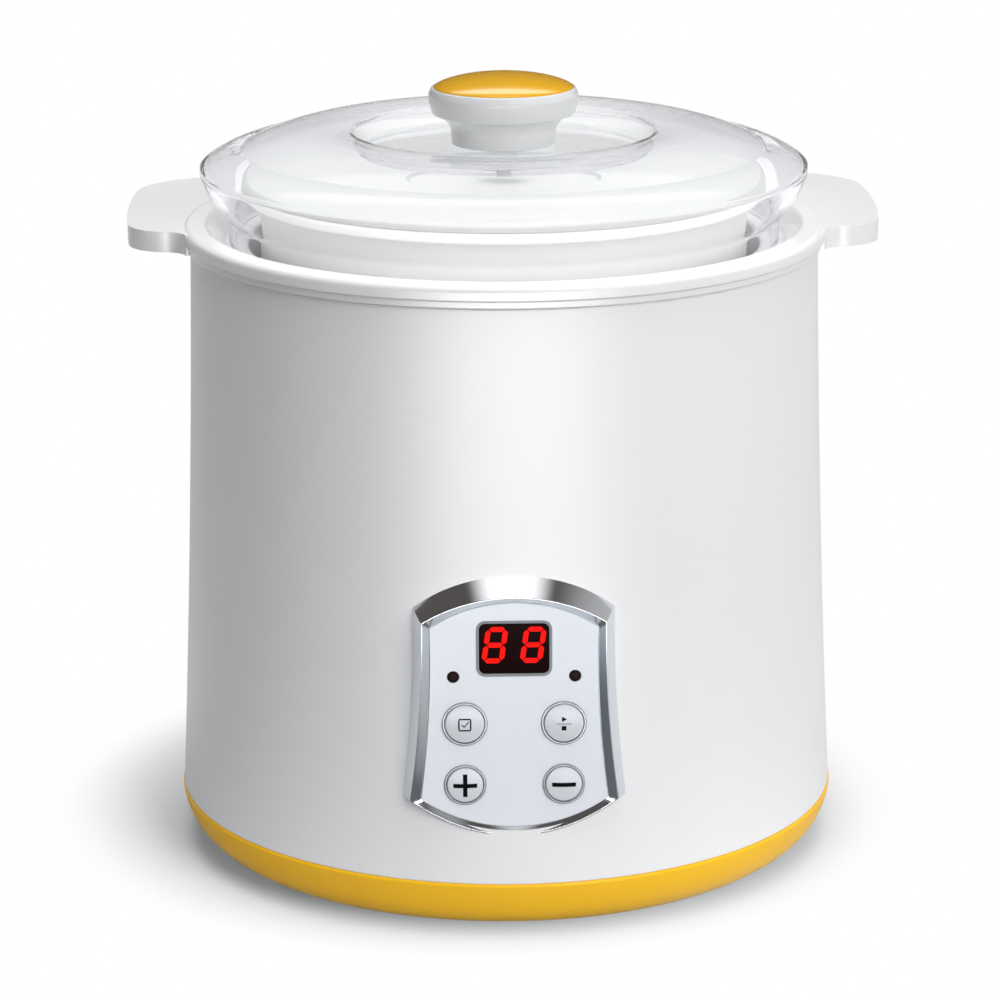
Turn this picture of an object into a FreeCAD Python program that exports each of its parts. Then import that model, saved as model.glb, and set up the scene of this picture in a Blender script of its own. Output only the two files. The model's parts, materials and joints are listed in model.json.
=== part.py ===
import FreeCAD, Part
import math
import os
from types import SimpleNamespace

import Sketcher

# Yogurt maker: a heated base with a control panel, a lift-out tub with its own lid, and a clear cover.
# Millimetres, origin on the floor under the middle of the base, +Z up, the panel looks along -Y.
# Heights are measured from the floor, and front distances from the middle axis towards the panel.

SIZES = (
    # base pan and drum
    ("foot_height", 1.5, "gap between the floor and the base pan"),
    ("foot_radius", 6.0, "rubber foot"),
    ("foot_inset", 8.2, "edge of the flat underside to the middle of a foot"),
    ("foot_seat", 0.7, "depth of the pocket that a foot sits in"),
    ("base_floor", 2.5, "thickness of the base pan's floor"),
    ("base_bottom_inset", 8.8, "flat underside of the base pan, in from the seam"),
    ("base_bulge_inset", 2.7, "base pan half way up its round side, in from the seam"),
    ("base_bulge_height", 6.8, "height of that place"),
    ("seam_height", 15.0, "top edge of the base pan"),
    ("seam_radius", 90.0, "base pan at its top edge"),
    ("seam_round", 0.8, "rounding of that edge"),
    ("seam_step", 0.3, "drum set back from the base pan"),
    ("base_lip_height", 4.0, "locating lip of the base pan inside the drum"),
    ("base_lip_wall", 2.0, "thickness of that lip"),
    ("shell_wall", 2.2, "thickness of the drum"),
    ("waist_height", 90.0, "height where the drum's flare is set"),
    ("waist_inset", 3.7, "drum at that height, in from the seam"),
    ("shoulder_height", 165.0, "top edge of the drum"),
    ("shoulder_inset", 5.9, "drum at its top edge, in from the seam"),
    ("fit_gap", 0.3, "clearance between pieces that slide together"),
    # rim, ears and well
    ("rim_proud", 2.1, "rim beyond the drum's top edge"),
    ("bead_tall", 2.0, "bead between the drum's top edge and the rim"),
    ("rim_tall", 4.0, "height of the rim"),
    ("rim_round", 1.7, "rounding of the rim's top edges"),
    ("rim_width", 6.7, "width of the rim"),
    ("bead_proud", 1.2, "bead beyond the drum's top edge"),
    ("funnel_draw", 3.9, "slope of the funnel inside the rim"),
    ("ledge_lift", 1.0, "ledge that carries the clear lid, above the drum's top edge"),
    ("ledge_wall", 2.2, "thickness of that ledge"),
    ("liner_skirt", 4.0, "locating skirt of the liner inside the drum"),
    ("liner_wall", 2.0, "wall of the well"),
    ("ledge_width", 7.1, "width of the ledge round the well"),
    ("well_floor", 26.0, "top of the well's floor"),
    ("well_floor_wall", 2.5, "thickness of the well's floor"),
    ("well_corner", 3.0, "rounding of the well's bottom corner"),
    ("ear_proud", 16.1, "ears beyond the rim"),
    ("ear_front", 12.5, "front edge of the ears, ahead of the middle axis"),
    ("ear_back", 65.0, "back edge of the ears, behind the middle axis"),
    ("ear_bow", 3.2, "bow of an ear's tip"),
    ("ear_front_corner", 12.0, "rounding of an ear's front corner"),
    ("ear_back_corner", 22.0, "rounding of an ear's back corner"),
    ("ear_fillet", 6.0, "hollow rounding between the rim and an ear"),
    ("ear_drop", 0.4, "ears below the top of the rim"),
    ("ear_round", 2.2, "rounding of the ears' edges"),
    ("post_inset", 6.5, "well's inside to the middle of a fixing post"),
    ("post_radius", 4.0, "fixing post under the well"),
    ("screw_radius", 1.4, "shank of a case screw"),
    ("screw_head_radius", 3.0, "head of a case screw"),
    ("screw_head", 1.2, "height of that head"),
    ("screw_length", 12.0, "shank length of a case screw"),
    ("screw_gap", 0.15, "clearance round a screw's shank"),
    # tub and its lid
    ("tub_gap", 3.0, "gap between the well and the tub under its lip"),
    ("tub_taper", 3.5, "draw of the tub towards its bottom corner"),
    ("tub_corner", 4.0, "rounding of the tub's bottom corner"),
    ("tub_wall", 2.0, "wall of the tub"),
    ("tub_lip_reach", 1.5, "lip of the tub beyond the well's inside"),
    ("tub_lip_lift", 7.0, "underside of the lip above the rim"),
    ("tub_lip_tall", 3.0, "height of the lip"),
    ("tub_lid_thick", 2.2, "flat lid of the tub"),
    ("tub_lid_plug", 6.0, "depth of the tub lid's plug ring"),
    ("tub_lid_plug_wall", 1.8, "thickness of the plug ring"),
    ("tub_lid_dish_radius", 26.0, "shallow dish in the tub lid"),
    ("tub_lid_dish", 0.8, "depth of that dish"),
    # clear lid and knob
    ("lid_inset", 5.1, "widest edge of the clear lid, in from the rim's outside"),
    ("lid_edge_rise", 4.6, "underside of that edge above the skirt's bow"),
    ("lid_edge_tall", 1.8, "height of that edge"),
    ("lid_wall", 2.0, "wall of the clear lid"),
    ("lid_slope_width", 11.1, "slope outside the shoulder line"),
    ("lid_slope_tall", 4.6, "height of that slope"),
    ("lid_recess_radius", 40.7, "edge of the round recess"),
    ("lid_dome_tall", 4.5, "recess edge above the shoulder line"),
    ("lid_recess_slope", 3.9, "slope of the recess's side"),
    ("lid_recess_depth", 4.0, "depth of the recess"),
    ("lid_crown", 2.4, "bulge of the lid between the recess and the shoulder"),
    ("lid_slope_crown", 0.8, "bulge of the slope outside the shoulder"),
    ("lid_bow_inset", 1.9, "bow of the skirt, in from the widest edge"),
    ("lid_bow_rise", 7.0, "height of that place above the skirt's foot"),
    ("lid_skirt_gap", 1.8, "gap between the funnel's foot and the skirt"),
    ("lid_skirt_tall", 7.0, "straight foot of the skirt on the ledge"),
    ("knob_base_radius", 13.8, "foot of the knob"),
    ("knob_neck_radius", 14.1, "neck of the knob"),
    ("knob_neck_tall", 4.1, "height of the neck"),
    ("knob_flange_draw", 1.0, "draw of the knob's flange towards its underside"),
    ("knob_sweep_tall", 4.0, "height of the sweep from the neck to the flange"),
    ("knob_sweep", 0.62, "hollow of the sweep from the neck to the flange"),
    ("knob_radius", 20.0, "widest part of the knob"),
    ("knob_flange_bulge", 0.25, "bulge of the flange's side"),
    ("knob_flange_tall", 5.3, "height of the flange's side"),
    ("knob_edge_tall", 1.7, "height of the knob's rounded top edge"),
    ("knob_cap_radius", 18.8, "inlay in the knob's top"),
    ("knob_cap_depth", 1.6, "depth of the inlay's pocket"),
    ("knob_cap_rise", 3.6, "crown of the inlay above the knob's edge"),
    ("knob_screw_radius", 1.9, "shank of the knob's screw"),
    ("knob_screw_length", 9.0, "thread in the knob"),
    ("knob_screw_head_radius", 3.6, "head of the knob's screw"),
    ("knob_screw_head", 2.2, "height of that head"),
    ("washer_radius", 6.0, "washer under the lid"),
    ("washer_thick", 1.0, "thickness of the washer"),
    # control panel, with front distances
    ("bezel_proud", 4.7, "front of the bezel beyond the drum's waist"),
    ("bezel_top_side", 4.6, "bezel beyond the face, at its top corners"),
    ("bezel_top_lift", 4.2, "bezel's top corners above the face's"),
    ("bezel_arch_lift", 7.1, "crown of the bezel's top arch above the face's"),
    ("bezel_bottom_side", 5.1, "bezel beyond the face, at its bottom corners"),
    ("bezel_bottom_drop", 0.3, "bezel's bottom corners below the face's"),
    ("bezel_arch_drop", 2.7, "lowest point of the bezel below the face's"),
    ("face_top_half", 21.3, "face: half width at its top corners"),
    ("face_top_arch", 6.6, "face: crown of its top arch above the corners"),
    ("face_top_apex", 90.0, "face: crown of its top arch"),
    ("face_bottom_half", 23.8, "face: half width at its bottom corners"),
    ("face_bottom_arch", 7.6, "face: bottom corners above the lowest point"),
    ("face_tall", 59.7, "face: crown to the lowest point"),
    ("side_hollow", 0.9, "hollow of the panel's sides"),
    ("face_proud", 1.3, "front of the face plate beyond the drum's waist"),
    ("face_thick", 1.6, "thickness of the face plate"),
    ("face_flange", 1.2, "flange round the back of the face plate"),
    ("face_flange_thick", 1.4, "thickness of that flange"),
    ("face_gap", 0.15, "gap between the face plate and the bezel"),
    ("display_width", 18.1, "window over the digits"),
    ("display_tall", 13.6, "height of that window"),
    ("display_drop", 12.0, "face's crown to the middle of the window"),
    ("display_inset", 0.2, "window set back from the face"),
    ("window_thick", 1.2, "thickness of the window"),
    ("led_radius", 1.45, "indicator lamp"),
    ("led_flange_radius", 1.9, "flange at the foot of a lamp"),
    ("led_proud", 0.3, "lamp's dome above the face"),
    ("led_spread", 15.45, "panel's middle to a lamp"),
    ("led_drop", 19.4, "face's crown to the lamps"),
    ("button_spread", 12.6, "panel's middle to a button"),
    ("upper_button_drop", 31.9, "face's crown to the upper buttons"),
    ("lower_button_drop", 48.3, "face's crown to the lower buttons"),
    ("upper_button_radius", 5.0, "cap of an upper button"),
    ("lower_button_radius", 4.6, "cap of a lower button"),
    ("button_gap", 0.3, "clearance round a button"),
    ("button_proud", 0.5, "button's edge above the face"),
    ("button_dome", 0.6, "crown of a button"),
    ("button_flange", 0.9, "flange that keeps a button in"),
    ("button_flange_thick", 1.0, "thickness of that flange"),
    ("ring_wall", 0.9, "width of a button's ring"),
    ("ring_proud", 0.7, "height of a button's ring"),
    ("plunger_radius", 1.6, "plunger of a switch"),
    ("plunger_length", 1.7, "length of a plunger"),
    ("switch_side", 6.0, "side of a switch"),
    ("switch_tall", 3.5, "height of a switch"),
    ("switch_well", 1.4, "depth of a switch's plunger hole"),
    ("board_thick", 1.6, "thickness of the circuit boards"),
    ("board_set", 7.0, "front of the face plate to the control board"),
    ("board_half_width", 18.0, "half of the control board's width"),
    ("board_bottom_drop", 54.5, "face's crown to the control board's bottom edge"),
    ("board_top_drop", 5.5, "face's crown to the control board's top edge"),
    ("board_post_spread", 15.0, "panel's middle to a board post"),
    ("board_post_low_drop", 40.1, "face's crown to the lower board posts"),
    ("board_post_high_drop", 9.0, "face's crown to the upper board posts"),
    ("board_post_radius", 1.9, "board post on the face plate"),
    ("board_screw_radius", 0.8, "shank of a board screw"),
    ("board_screw_head_radius", 1.8, "head of a board screw"),
    ("board_screw_head", 1.2, "height of that head"),
    ("board_screw_length", 5.0, "shank length of a board screw"),
    # heater
    ("heater_radius", 50.0, "heater plate under the well"),
    ("heater_thick", 2.2, "thickness of the heater plate"),
    ("heater_ring_radius", 44.0, "outside of the heating ring"),
    ("heater_ring_bore", 28.0, "inside of the heating ring"),
    ("heater_ring_thick", 1.8, "thickness of the heating ring"),
    ("heater_boss_gap", 0.5, "gap between the plate and a boss"),
    ("heater_boss_radius", 3.0, "boss for a heater screw"),
    ("clip_radius", 5.2, "clip washer at the plate's edge"),
    ("clip_thick", 0.8, "thickness of a clip washer"),
    ("clip_screw_length", 4.2, "shank length of a heater screw"),
    ("fuse_radius", 2.0, "thermal fuse"),
    ("fuse_length", 11.0, "length of the thermal fuse"),
    ("sensor_long", 10.0, "temperature sensor"),
    ("sensor_wide", 6.0, "width of the temperature sensor"),
    ("sensor_thick", 3.0, "height of the temperature sensor"),
    ("sensor_place", 15.0, "middle axis to the temperature sensor"),
    # power board and inlet
    ("power_board_long", 72.0, "power board, across"),
    ("power_board_wide", 48.0, "power board, front to back"),
    ("power_board_lift", 3.0, "power board above the pan's floor"),
    ("power_post_inset", 4.5, "board's edge to a post"),
    ("power_post_radius", 3.0, "post under the power board"),
    ("transformer_long", 22.0, "transformer"),
    ("transformer_wide", 18.0, "width of the transformer"),
    ("transformer_tall", 8.6, "height of the transformer"),
    ("relay_long", 15.0, "relay"),
    ("relay_wide", 10.0, "width of the relay"),
    ("relay_tall", 8.0, "height of the relay"),
    ("capacitor_radius", 4.0, "filter capacitor"),
    ("capacitor_tall", 8.4, "height of the filter capacitor"),
    ("part_spacing", 4.0, "gap between parts on the power board"),
    ("inlet_half_width", 10.0, "inlet block"),
    ("inlet_tall", 13.0, "height of the inlet block"),
    ("inlet_lift", 0.5, "inlet block above the base pan's lip"),
    ("inlet_proud", 1.3, "inlet's outer face beyond the drum's foot"),
    ("inlet_depth", 16.5, "depth of the inlet block"),
    ("inlet_wing", 4.0, "wings that hold the inlet behind the drum"),
    ("inlet_wing_thick", 2.5, "thickness of those wings"),
    ("inlet_wing_set", 6.0, "outer face to the wings"),
    ("socket_radius", 4.6, "round end of the socket"),
    ("socket_spread", 3.2, "socket's middle to the centre of a round end"),
    ("socket_depth", 11.5, "depth of the socket"),
    ("pin_radius", 1.18, "contact pin"),
    ("pin_spread", 4.3, "socket's middle to a pin"),
    ("pin_length", 9.0, "length of a pin"),
    ("lead_radius", 0.9, "insulated lead"),
    ("lead_bend", 3.0, "bend of a lead at its middle line"),
    ("lead_lift", 2.6, "leads above the power board"),
    ("ribbon_width", 10.0, "ribbon cable"),
    ("ribbon_thick", 1.0, "thickness of the ribbon cable"),
    ("ribbon_overlap", 6.0, "ribbon on the control board"),
)

FULL_TURN = 360.0
HALF_TURN = 180.0
QUARTER_TURN = 90.0
QUARTERS = [45.0, 135.0, 225.0, 315.0]
THIRDS = [90.0, 210.0, 330.0]
# middle of a quarter round from its corner, as a share of its radius
ROUND_VIA = 1.0 - math.sqrt(0.5)
# most of a lead's last drop that its bend may take
LEAD_BEND_SHARE = 0.9
# lengths below this count as nothing
NIL = 1e-6
DOME = "dome"


class Size:
    """A length with the sheet expression that drives it, so that sums of lengths stay driven."""

    def __init__(self, text, value):
        self.text = text
        self.value = float(value)

    def __add__(self, other):
        other = sized(other)
        return Size(f"({self.text} + {other.text})", self.value + other.value)

    def __sub__(self, other):
        other = sized(other)
        return Size(f"({self.text} - {other.text})", self.value - other.value)

    def __mul__(self, factor):
        return Size(f"({self.text} * {factor:.9f})", self.value * factor)

    def __truediv__(self, divisor):
        return self * (1.0 / divisor)

    def __neg__(self):
        return self * -1.0

    def __radd__(self, other):
        return sized(other) + self

    def __rsub__(self, other):
        return sized(other) - self


def sized(length):
    """Give a plain number the form of a driven length."""
    return length if isinstance(length, Size) else Size(f"{length:.9f}", length)


doc = FreeCAD.newDocument("YogurtMaker")
sheet = doc.addObject("Spreadsheet::Sheet", "Sizes")
for row, (alias, length, meaning) in enumerate(SIZES, start=1):
    sheet.set(f"A{row}", alias)
    sheet.set(f"B{row}", str(length))
    sheet.setAlias(f"B{row}", alias)
    sheet.set(f"C{row}", meaning)
doc.recompute()

d = SimpleNamespace(**{alias: Size(f"Sizes.{alias}", length) for alias, length, _ in SIZES})
pieces = {}

# Radii that follow from the seam, from the base pan to the lids

d.base_bottom_radius = d.seam_radius - d.base_bottom_inset
d.base_bulge_radius = d.seam_radius - d.base_bulge_inset
d.foot_ring = d.base_bottom_radius - d.foot_inset
d.shell_foot = d.seam_radius - d.seam_step
d.waist_radius = d.seam_radius - d.waist_inset
d.shoulder_radius = d.seam_radius - d.shoulder_inset
d.bead_radius = d.shoulder_radius + d.bead_proud
d.rim_radius = d.shoulder_radius + d.rim_proud
d.rim_inner_radius = d.rim_radius - d.rim_width
d.ear_reach = d.rim_radius + d.ear_proud
d.funnel_radius = d.rim_inner_radius - d.funnel_draw
d.well_radius = d.funnel_radius - d.ledge_width
d.post_ring = d.well_radius - d.post_inset
d.tub_radius = d.well_radius - d.tub_gap
d.tub_foot_radius = d.tub_radius - d.tub_taper
d.tub_lip_radius = d.well_radius + d.tub_lip_reach
d.lid_radius = d.rim_radius - d.lid_inset
d.lid_bow_radius = d.lid_radius - d.lid_bow_inset
d.lid_skirt_radius = d.funnel_radius - d.lid_skirt_gap
d.lid_shoulder_radius = d.lid_radius - d.lid_slope_width
d.lid_recess_floor_radius = d.lid_recess_radius - d.lid_recess_slope
d.knob_flange_low_radius = d.knob_radius - d.knob_flange_draw

# Heights that follow from the drum's top edge

d.rim_bottom = d.shoulder_height + d.bead_tall
d.rim_top = d.rim_bottom + d.rim_tall
d.ear_top = d.rim_top - d.ear_drop
d.ledge_height = d.shoulder_height + d.ledge_lift
d.tub_lip_bottom = d.rim_top + d.tub_lip_lift
d.tub_lip_top = d.tub_lip_bottom + d.tub_lip_tall
d.lid_skirt_height = d.ledge_height + d.lid_skirt_tall
d.lid_bow_height = d.lid_skirt_height + d.lid_bow_rise
d.lid_edge_bottom = d.lid_bow_height + d.lid_edge_rise
d.lid_edge_top = d.lid_edge_bottom + d.lid_edge_tall
d.lid_shoulder_height = d.lid_edge_top + d.lid_slope_tall
d.lid_recess_top = d.lid_shoulder_height + d.lid_dome_tall
d.lid_recess_floor = d.lid_recess_top - d.lid_recess_depth
d.knob_neck_height = d.lid_recess_floor + d.knob_neck_tall
d.knob_flange_bottom = d.knob_neck_height + d.knob_sweep_tall
d.knob_widest = d.knob_flange_bottom + d.knob_flange_tall
d.knob_top = d.knob_widest + d.knob_edge_tall

# Panel and inlet, from the drum and from the face plate's outline

d.bezel_crown = d.waist_radius + d.bezel_proud
d.face_front = d.waist_radius + d.face_proud
d.board_front = d.face_front - d.board_set
d.inlet_face = d.shell_foot + d.inlet_proud
d.face_top_height = d.face_top_apex - d.face_top_arch
d.face_bottom_apex = d.face_top_apex - d.face_tall
d.face_bottom_height = d.face_bottom_apex + d.face_bottom_arch
d.display_height = d.face_top_apex - d.display_drop
d.led_height = d.face_top_apex - d.led_drop
d.upper_button_height = d.face_top_apex - d.upper_button_drop
d.lower_button_height = d.face_top_apex - d.lower_button_drop
d.board_bottom = d.face_top_apex - d.board_bottom_drop
d.board_top = d.face_top_apex - d.board_top_drop
d.board_post_low = d.face_top_apex - d.board_post_low_drop
d.board_post_high = d.face_top_apex - d.board_post_high_drop
d.bezel_top_half = d.face_top_half + d.bezel_top_side
d.bezel_top_height = d.face_top_height + d.bezel_top_lift
d.bezel_top_apex = d.face_top_apex + d.bezel_arch_lift
d.bezel_bottom_half = d.face_bottom_half + d.bezel_bottom_side
d.bezel_bottom_height = d.face_bottom_height - d.bezel_bottom_drop
d.bezel_bottom_apex = d.face_bottom_apex - d.bezel_arch_drop


# Helpers: sketches and features

def bind(thing, path, length):
    """Drive one property of an object from the sheet."""
    thing.setExpression(path, sized(length).text)


def place(thing, at=(0, 0, 0), turn=(0, 0, 1), angle=0.0):
    """Set an object's place from driven lengths, with a fixed turn about one axis."""
    base = FreeCAD.Vector(*[sized(length).value for length in at])
    thing.Placement = FreeCAD.Placement(base, FreeCAD.Rotation(FreeCAD.Vector(*turn), angle))
    for axis, length in zip("xyz", at):
        bind(thing, f"Placement.Base.{axis}", length)
    return thing


def towards_front(thing, x, z):
    """Turn a piece made about Z so that its height becomes its front distance."""
    return place(thing, (x, 0, z), turn=(1, 0, 0), angle=90.0)


def hold(sketch, kind, geometry, end, length):
    """Fix one point of a sketch at a driven distance from the sketch's origin."""
    length = sized(length)
    if abs(length.value) < NIL:
        axis_line = -2 if kind == "DistanceX" else -1
        sketch.addConstraint(Sketcher.Constraint("PointOnObject", geometry, end, axis_line))
        return
    ends = (-1, 1, geometry, end)
    if length.value < 0:
        length = -length
        ends = (geometry, end, -1, 1)
    index = sketch.addConstraint(Sketcher.Constraint(kind, *ends, length.value))
    sketch.setExpression(f"Constraints[{index}]", length.text)


def dome_middle(start, finish):
    """Middle of an arc from a rim to a crown on the axis, with its centre on that axis."""
    rise = finish.y - start.y
    radius = (start.x ** 2 + rise ** 2) / (2 * rise)
    half_angle = math.asin(start.x / radius) / 2
    return FreeCAD.Vector(radius * math.sin(half_angle), finish.y - radius * (1 - math.cos(half_angle)))


def draw(sketch, corners):
    """Draw a closed outline.

    A corner is (x, y) after a straight run, (x, y, via_x, via_y) after an arc through a point,
    or (x, y, DOME) after an arc whose centre is on the axis.
    """
    vectors = [FreeCAD.Vector(sized(corner[0]).value, sized(corner[1]).value) for corner in corners]
    runs = []
    for number, corner in enumerate(corners):
        start, finish = vectors[number - 1], vectors[number]
        if len(corner) == 2:
            run = sketch.addGeometry(Part.LineSegment(start, finish), False)
        else:
            if corner[2] is DOME:
                via = dome_middle(start, finish)
            else:
                via = FreeCAD.Vector(*[sized(length).value for length in corner[2:]])
            run = sketch.addGeometry(Part.Arc(start, via, finish), False)
        first_is_start = sketch.getPoint(run, 1).distanceToPoint(start) < NIL
        runs.append((run, 1, 2) if first_is_start else (run, 2, 1))
    for number, corner in enumerate(corners):
        run, start_end, finish_end = runs[number]
        last_run, _, last_finish = runs[number - 1]
        sketch.addConstraint(Sketcher.Constraint("Coincident", last_run, last_finish, run, start_end))
        hold(sketch, "DistanceX", run, finish_end, corner[0])
        hold(sketch, "DistanceY", run, finish_end, corner[1])
        if len(corner) == 3:
            sketch.addConstraint(Sketcher.Constraint("PointOnObject", run, 3, -2))
        if len(corner) == 4:
            via = FreeCAD.Vector(sized(corner[2]).value, sized(corner[3]).value)
            point = sketch.addGeometry(Part.Point(via), True)
            hold(sketch, "DistanceX", point, 1, corner[2])
            hold(sketch, "DistanceY", point, 1, corner[3])
            sketch.addConstraint(Sketcher.Constraint("PointOnObject", point, 1, run))


def new_sketch(body, role, corners, offset=0):
    """Put an outline on one of a body's own origin planes, or at a distance in front of it."""
    sketch = body.newObject("Sketcher::SketchObject", "Outline")
    plane = next(feature for feature in body.Origin.OriginFeatures if feature.Role == role)
    sketch.AttachmentSupport = (plane, [""])
    sketch.MapMode = "FlatFace"
    sketch.AttachmentOffset = FreeCAD.Placement(FreeCAD.Vector(0, 0, sized(offset).value), FreeCAD.Rotation())
    bind(sketch, "AttachmentOffset.Base.z", offset)
    draw(sketch, corners)
    return sketch


def turned(label, corners):
    """Turn an outline of (radius, height) corners about the Z axis."""
    body = doc.addObject("PartDesign::Body", label)
    sketch = new_sketch(body, "XZ_Plane", corners)
    turn = body.newObject("PartDesign::Revolution", "Turn")
    turn.Profile = sketch
    turn.ReferenceAxis = (sketch, ["V_Axis"])
    turn.Angle = FULL_TURN
    return body


def slab(label, role, corners, start, finish):
    """Pad an outline between two distances in front of one of the body's origin planes."""
    body = doc.addObject("PartDesign::Body", label)
    pad = body.newObject("PartDesign::Pad", "Pad")
    pad.Profile = new_sketch(body, role, corners, start)
    bind(pad, "Length", sized(finish) - start)
    return body


def block(label, low, span):
    """Box from its lowest corner and its three sides."""
    box = doc.addObject("Part::Box", label)
    for side, length in zip(("Length", "Width", "Height"), span):
        bind(box, side, length)
    return place(box, low)


def rod(label, radius, length, at):
    """Upright round bar from the middle of its lower end."""
    bar = doc.addObject("Part::Cylinder", label)
    bind(bar, "Radius", radius)
    bind(bar, "Height", length)
    return place(bar, at)


def front_rod(label, radius, back, front, x, z):
    """Round bar between two front distances."""
    bar = doc.addObject("Part::Cylinder", label)
    bind(bar, "Radius", radius)
    bind(bar, "Height", sized(front) - back)
    return place(bar, (x, -sized(back), z), turn=(1, 0, 0), angle=90.0)


def screw(label, head_radius, head, shank_radius, shank):
    """Screw that stands on its head, with its shank along +Z."""
    return turned(label, [
        (0, 0), (head_radius, 0), (head_radius, head), (shank_radius, head),
        (shank_radius, sized(head) + shank), (0, sized(head) + shank),
    ])


def fuse(label, shapes):
    joined = doc.addObject("Part::MultiFuse", label)
    joined.Shapes = shapes
    joined.Refine = True
    return joined


def cut(label, base, tools):
    result = doc.addObject("Part::Cut", label)
    result.Base = base
    result.Tool = tools[0] if len(tools) == 1 else fuse(label + "_tools", tools)
    result.Refine = True
    return result


def common(label, first, second):
    result = doc.addObject("Part::Common", label)
    result.Base = first
    result.Tool = second
    result.Refine = True
    return result


def group(label, members):
    """Several like solids that share one node."""
    compound = doc.addObject("Part::Compound", label)
    compound.Links = members
    return compound


def keep(node, thing):
    """Name a finished piece. Its label is its file's name."""
    thing.Label = node
    pieces[node] = thing
    return thing


def on_ring(radius, angle):
    """Driven x and y of a place on a circle round the middle axis."""
    turn = math.radians(angle)
    return radius * math.cos(turn), radius * math.sin(turn)


def bent_tube(points, bend, radius):
    """Round tube along straight runs that are joined by tangent arcs."""
    edges = []
    start = points[0]
    for before, corner, after in zip(points, points[1:], points[2:]):
        back = (before - corner).normalize()
        ahead = (after - corner).normalize()
        half = back.getAngle(ahead) / 2
        reach = bend / math.tan(half)
        centre = corner + (back + ahead).normalize() * (bend / math.sin(half))
        enter, leave = corner + back * reach, corner + ahead * reach
        middle = centre + (corner - centre).normalize() * bend
        edges.append(Part.LineSegment(start, enter).toShape())
        edges.append(Part.Arc(enter, middle, leave).toShape())
        start = leave
    edges.append(Part.LineSegment(start, points[-1]).toShape())
    section = Part.Wire(Part.makeCircle(radius, points[0], points[1] - points[0]))
    return Part.Wire(edges).makePipeShell([section], True, False)


# Heights and depths that several pieces share

pan_floor = d.foot_height + d.base_floor
well_underside = d.well_floor - d.well_floor_wall
heater_bottom = well_underside - d.heater_thick
heater_ring_bottom = heater_bottom - d.heater_ring_thick
power_board_bottom = pan_floor + d.power_board_lift
power_board_top = power_board_bottom + d.board_thick
face_back = d.face_front - d.face_thick
board_back = d.board_front - d.board_thick
inlet_low = d.seam_height + d.base_lip_height + d.inlet_lift
inlet_height = inlet_low + d.inlet_tall / 2
post_hole_radius = d.screw_radius + d.screw_gap


# Drum and base pan

def panel_outline(top_half, top_height, top_apex, bottom_half, bottom_height, bottom_apex, grow=0.0):
    """Barrel outline of the panel: arched top and bottom, and sides that hollow a little."""
    grow = sized(grow)
    top_x, bottom_x = top_half + grow, bottom_half + grow
    top_z, bottom_z = top_height + grow / 2, bottom_height - grow / 2
    side_x, side_z = (top_x + bottom_x) / 2 - d.side_hollow, (top_z + bottom_z) / 2
    return [
        (-bottom_x, bottom_z, 0, bottom_apex - grow),
        (-top_x, top_z, -side_x, side_z),
        (top_x, top_z, 0, top_apex + grow),
        (bottom_x, bottom_z, side_x, side_z),
    ]


def face_outline(grow=0.0):
    return panel_outline(d.face_top_half, d.face_top_height, d.face_top_apex,
                         d.face_bottom_half, d.face_bottom_height, d.face_bottom_apex, grow)


def bezel_outline():
    return panel_outline(d.bezel_top_half, d.bezel_top_height, d.bezel_top_apex,
                         d.bezel_bottom_half, d.bezel_bottom_height, d.bezel_bottom_apex)


def drum_core(label):
    """Solid inside the drum's outer skin."""
    return turned(label, [
        (0, d.seam_height), (d.shell_foot, d.seam_height),
        (d.shoulder_radius, d.shoulder_height, d.waist_radius, d.waist_height), (0, d.shoulder_height),
    ])


def make_outer_shell():
    inner_foot = d.shell_foot - d.shell_wall
    drum = turned("drum", [
        (d.shell_foot, d.seam_height),
        (d.shoulder_radius, d.shoulder_height, d.waist_radius, d.waist_height),
        (d.shoulder_radius - d.shell_wall, d.shoulder_height),
        (inner_foot, d.seam_height, d.waist_radius - d.shell_wall, d.waist_height),
    ])
    window = slab("panel_window", "XZ_Plane", face_outline(d.face_flange + d.face_gap),
                  d.well_radius, d.bezel_crown)
    inlet_window = block("inlet_window", (-d.inlet_half_width, d.well_radius, inlet_low),
                         (d.inlet_half_width * 2, d.inlet_face - d.well_radius, d.inlet_tall))
    keep("outer_shell", cut("outer_shell", drum, [window, inlet_window]))


def make_base_tray():
    lip_radius = d.shell_foot - d.shell_wall - d.fit_gap
    lip_inner = lip_radius - d.base_lip_wall
    pan = turned("pan", [
        (0, d.foot_height), (d.base_bottom_radius, d.foot_height),
        (d.seam_radius, d.seam_height - d.seam_round, d.base_bulge_radius, d.base_bulge_height),
        (d.seam_radius - d.seam_round, d.seam_height),
        (lip_radius, d.seam_height),
        (lip_radius, d.seam_height + d.base_lip_height),
        (lip_inner, d.seam_height + d.base_lip_height),
        (lip_inner, d.seam_height),
        (d.base_bottom_radius - d.base_floor, pan_floor,
         d.base_bulge_radius - d.base_floor, d.base_bulge_height + d.base_floor / 2),
        (0, pan_floor),
    ])
    posts = [rod("power_post", d.power_post_radius, d.power_board_lift, (x, y, pan_floor))
             for x, y in power_post_places()]
    holes = []
    for x, y in power_post_places():
        holes.append(rod("power_post_hole", post_hole_radius, d.power_board_lift + d.base_floor / 2,
                         (x, y, pan_floor - d.base_floor / 2)))
    for angle in QUARTERS:
        x, y = on_ring(d.post_ring, angle)
        holes.append(rod("case_screw_hole", post_hole_radius, d.base_floor, (x, y, d.foot_height)))
        holes.append(rod("case_screw_sink", d.screw_head_radius + d.fit_gap, d.base_floor / 2,
                         (x, y, d.foot_height)))
        x, y = on_ring(d.foot_ring, angle)
        holes.append(rod("foot_pocket", d.foot_radius, d.foot_seat, (x, y, d.foot_height)))
    keep("base_tray", cut("base_tray", fuse("pan_with_posts", [pan] + posts), holes))


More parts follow.
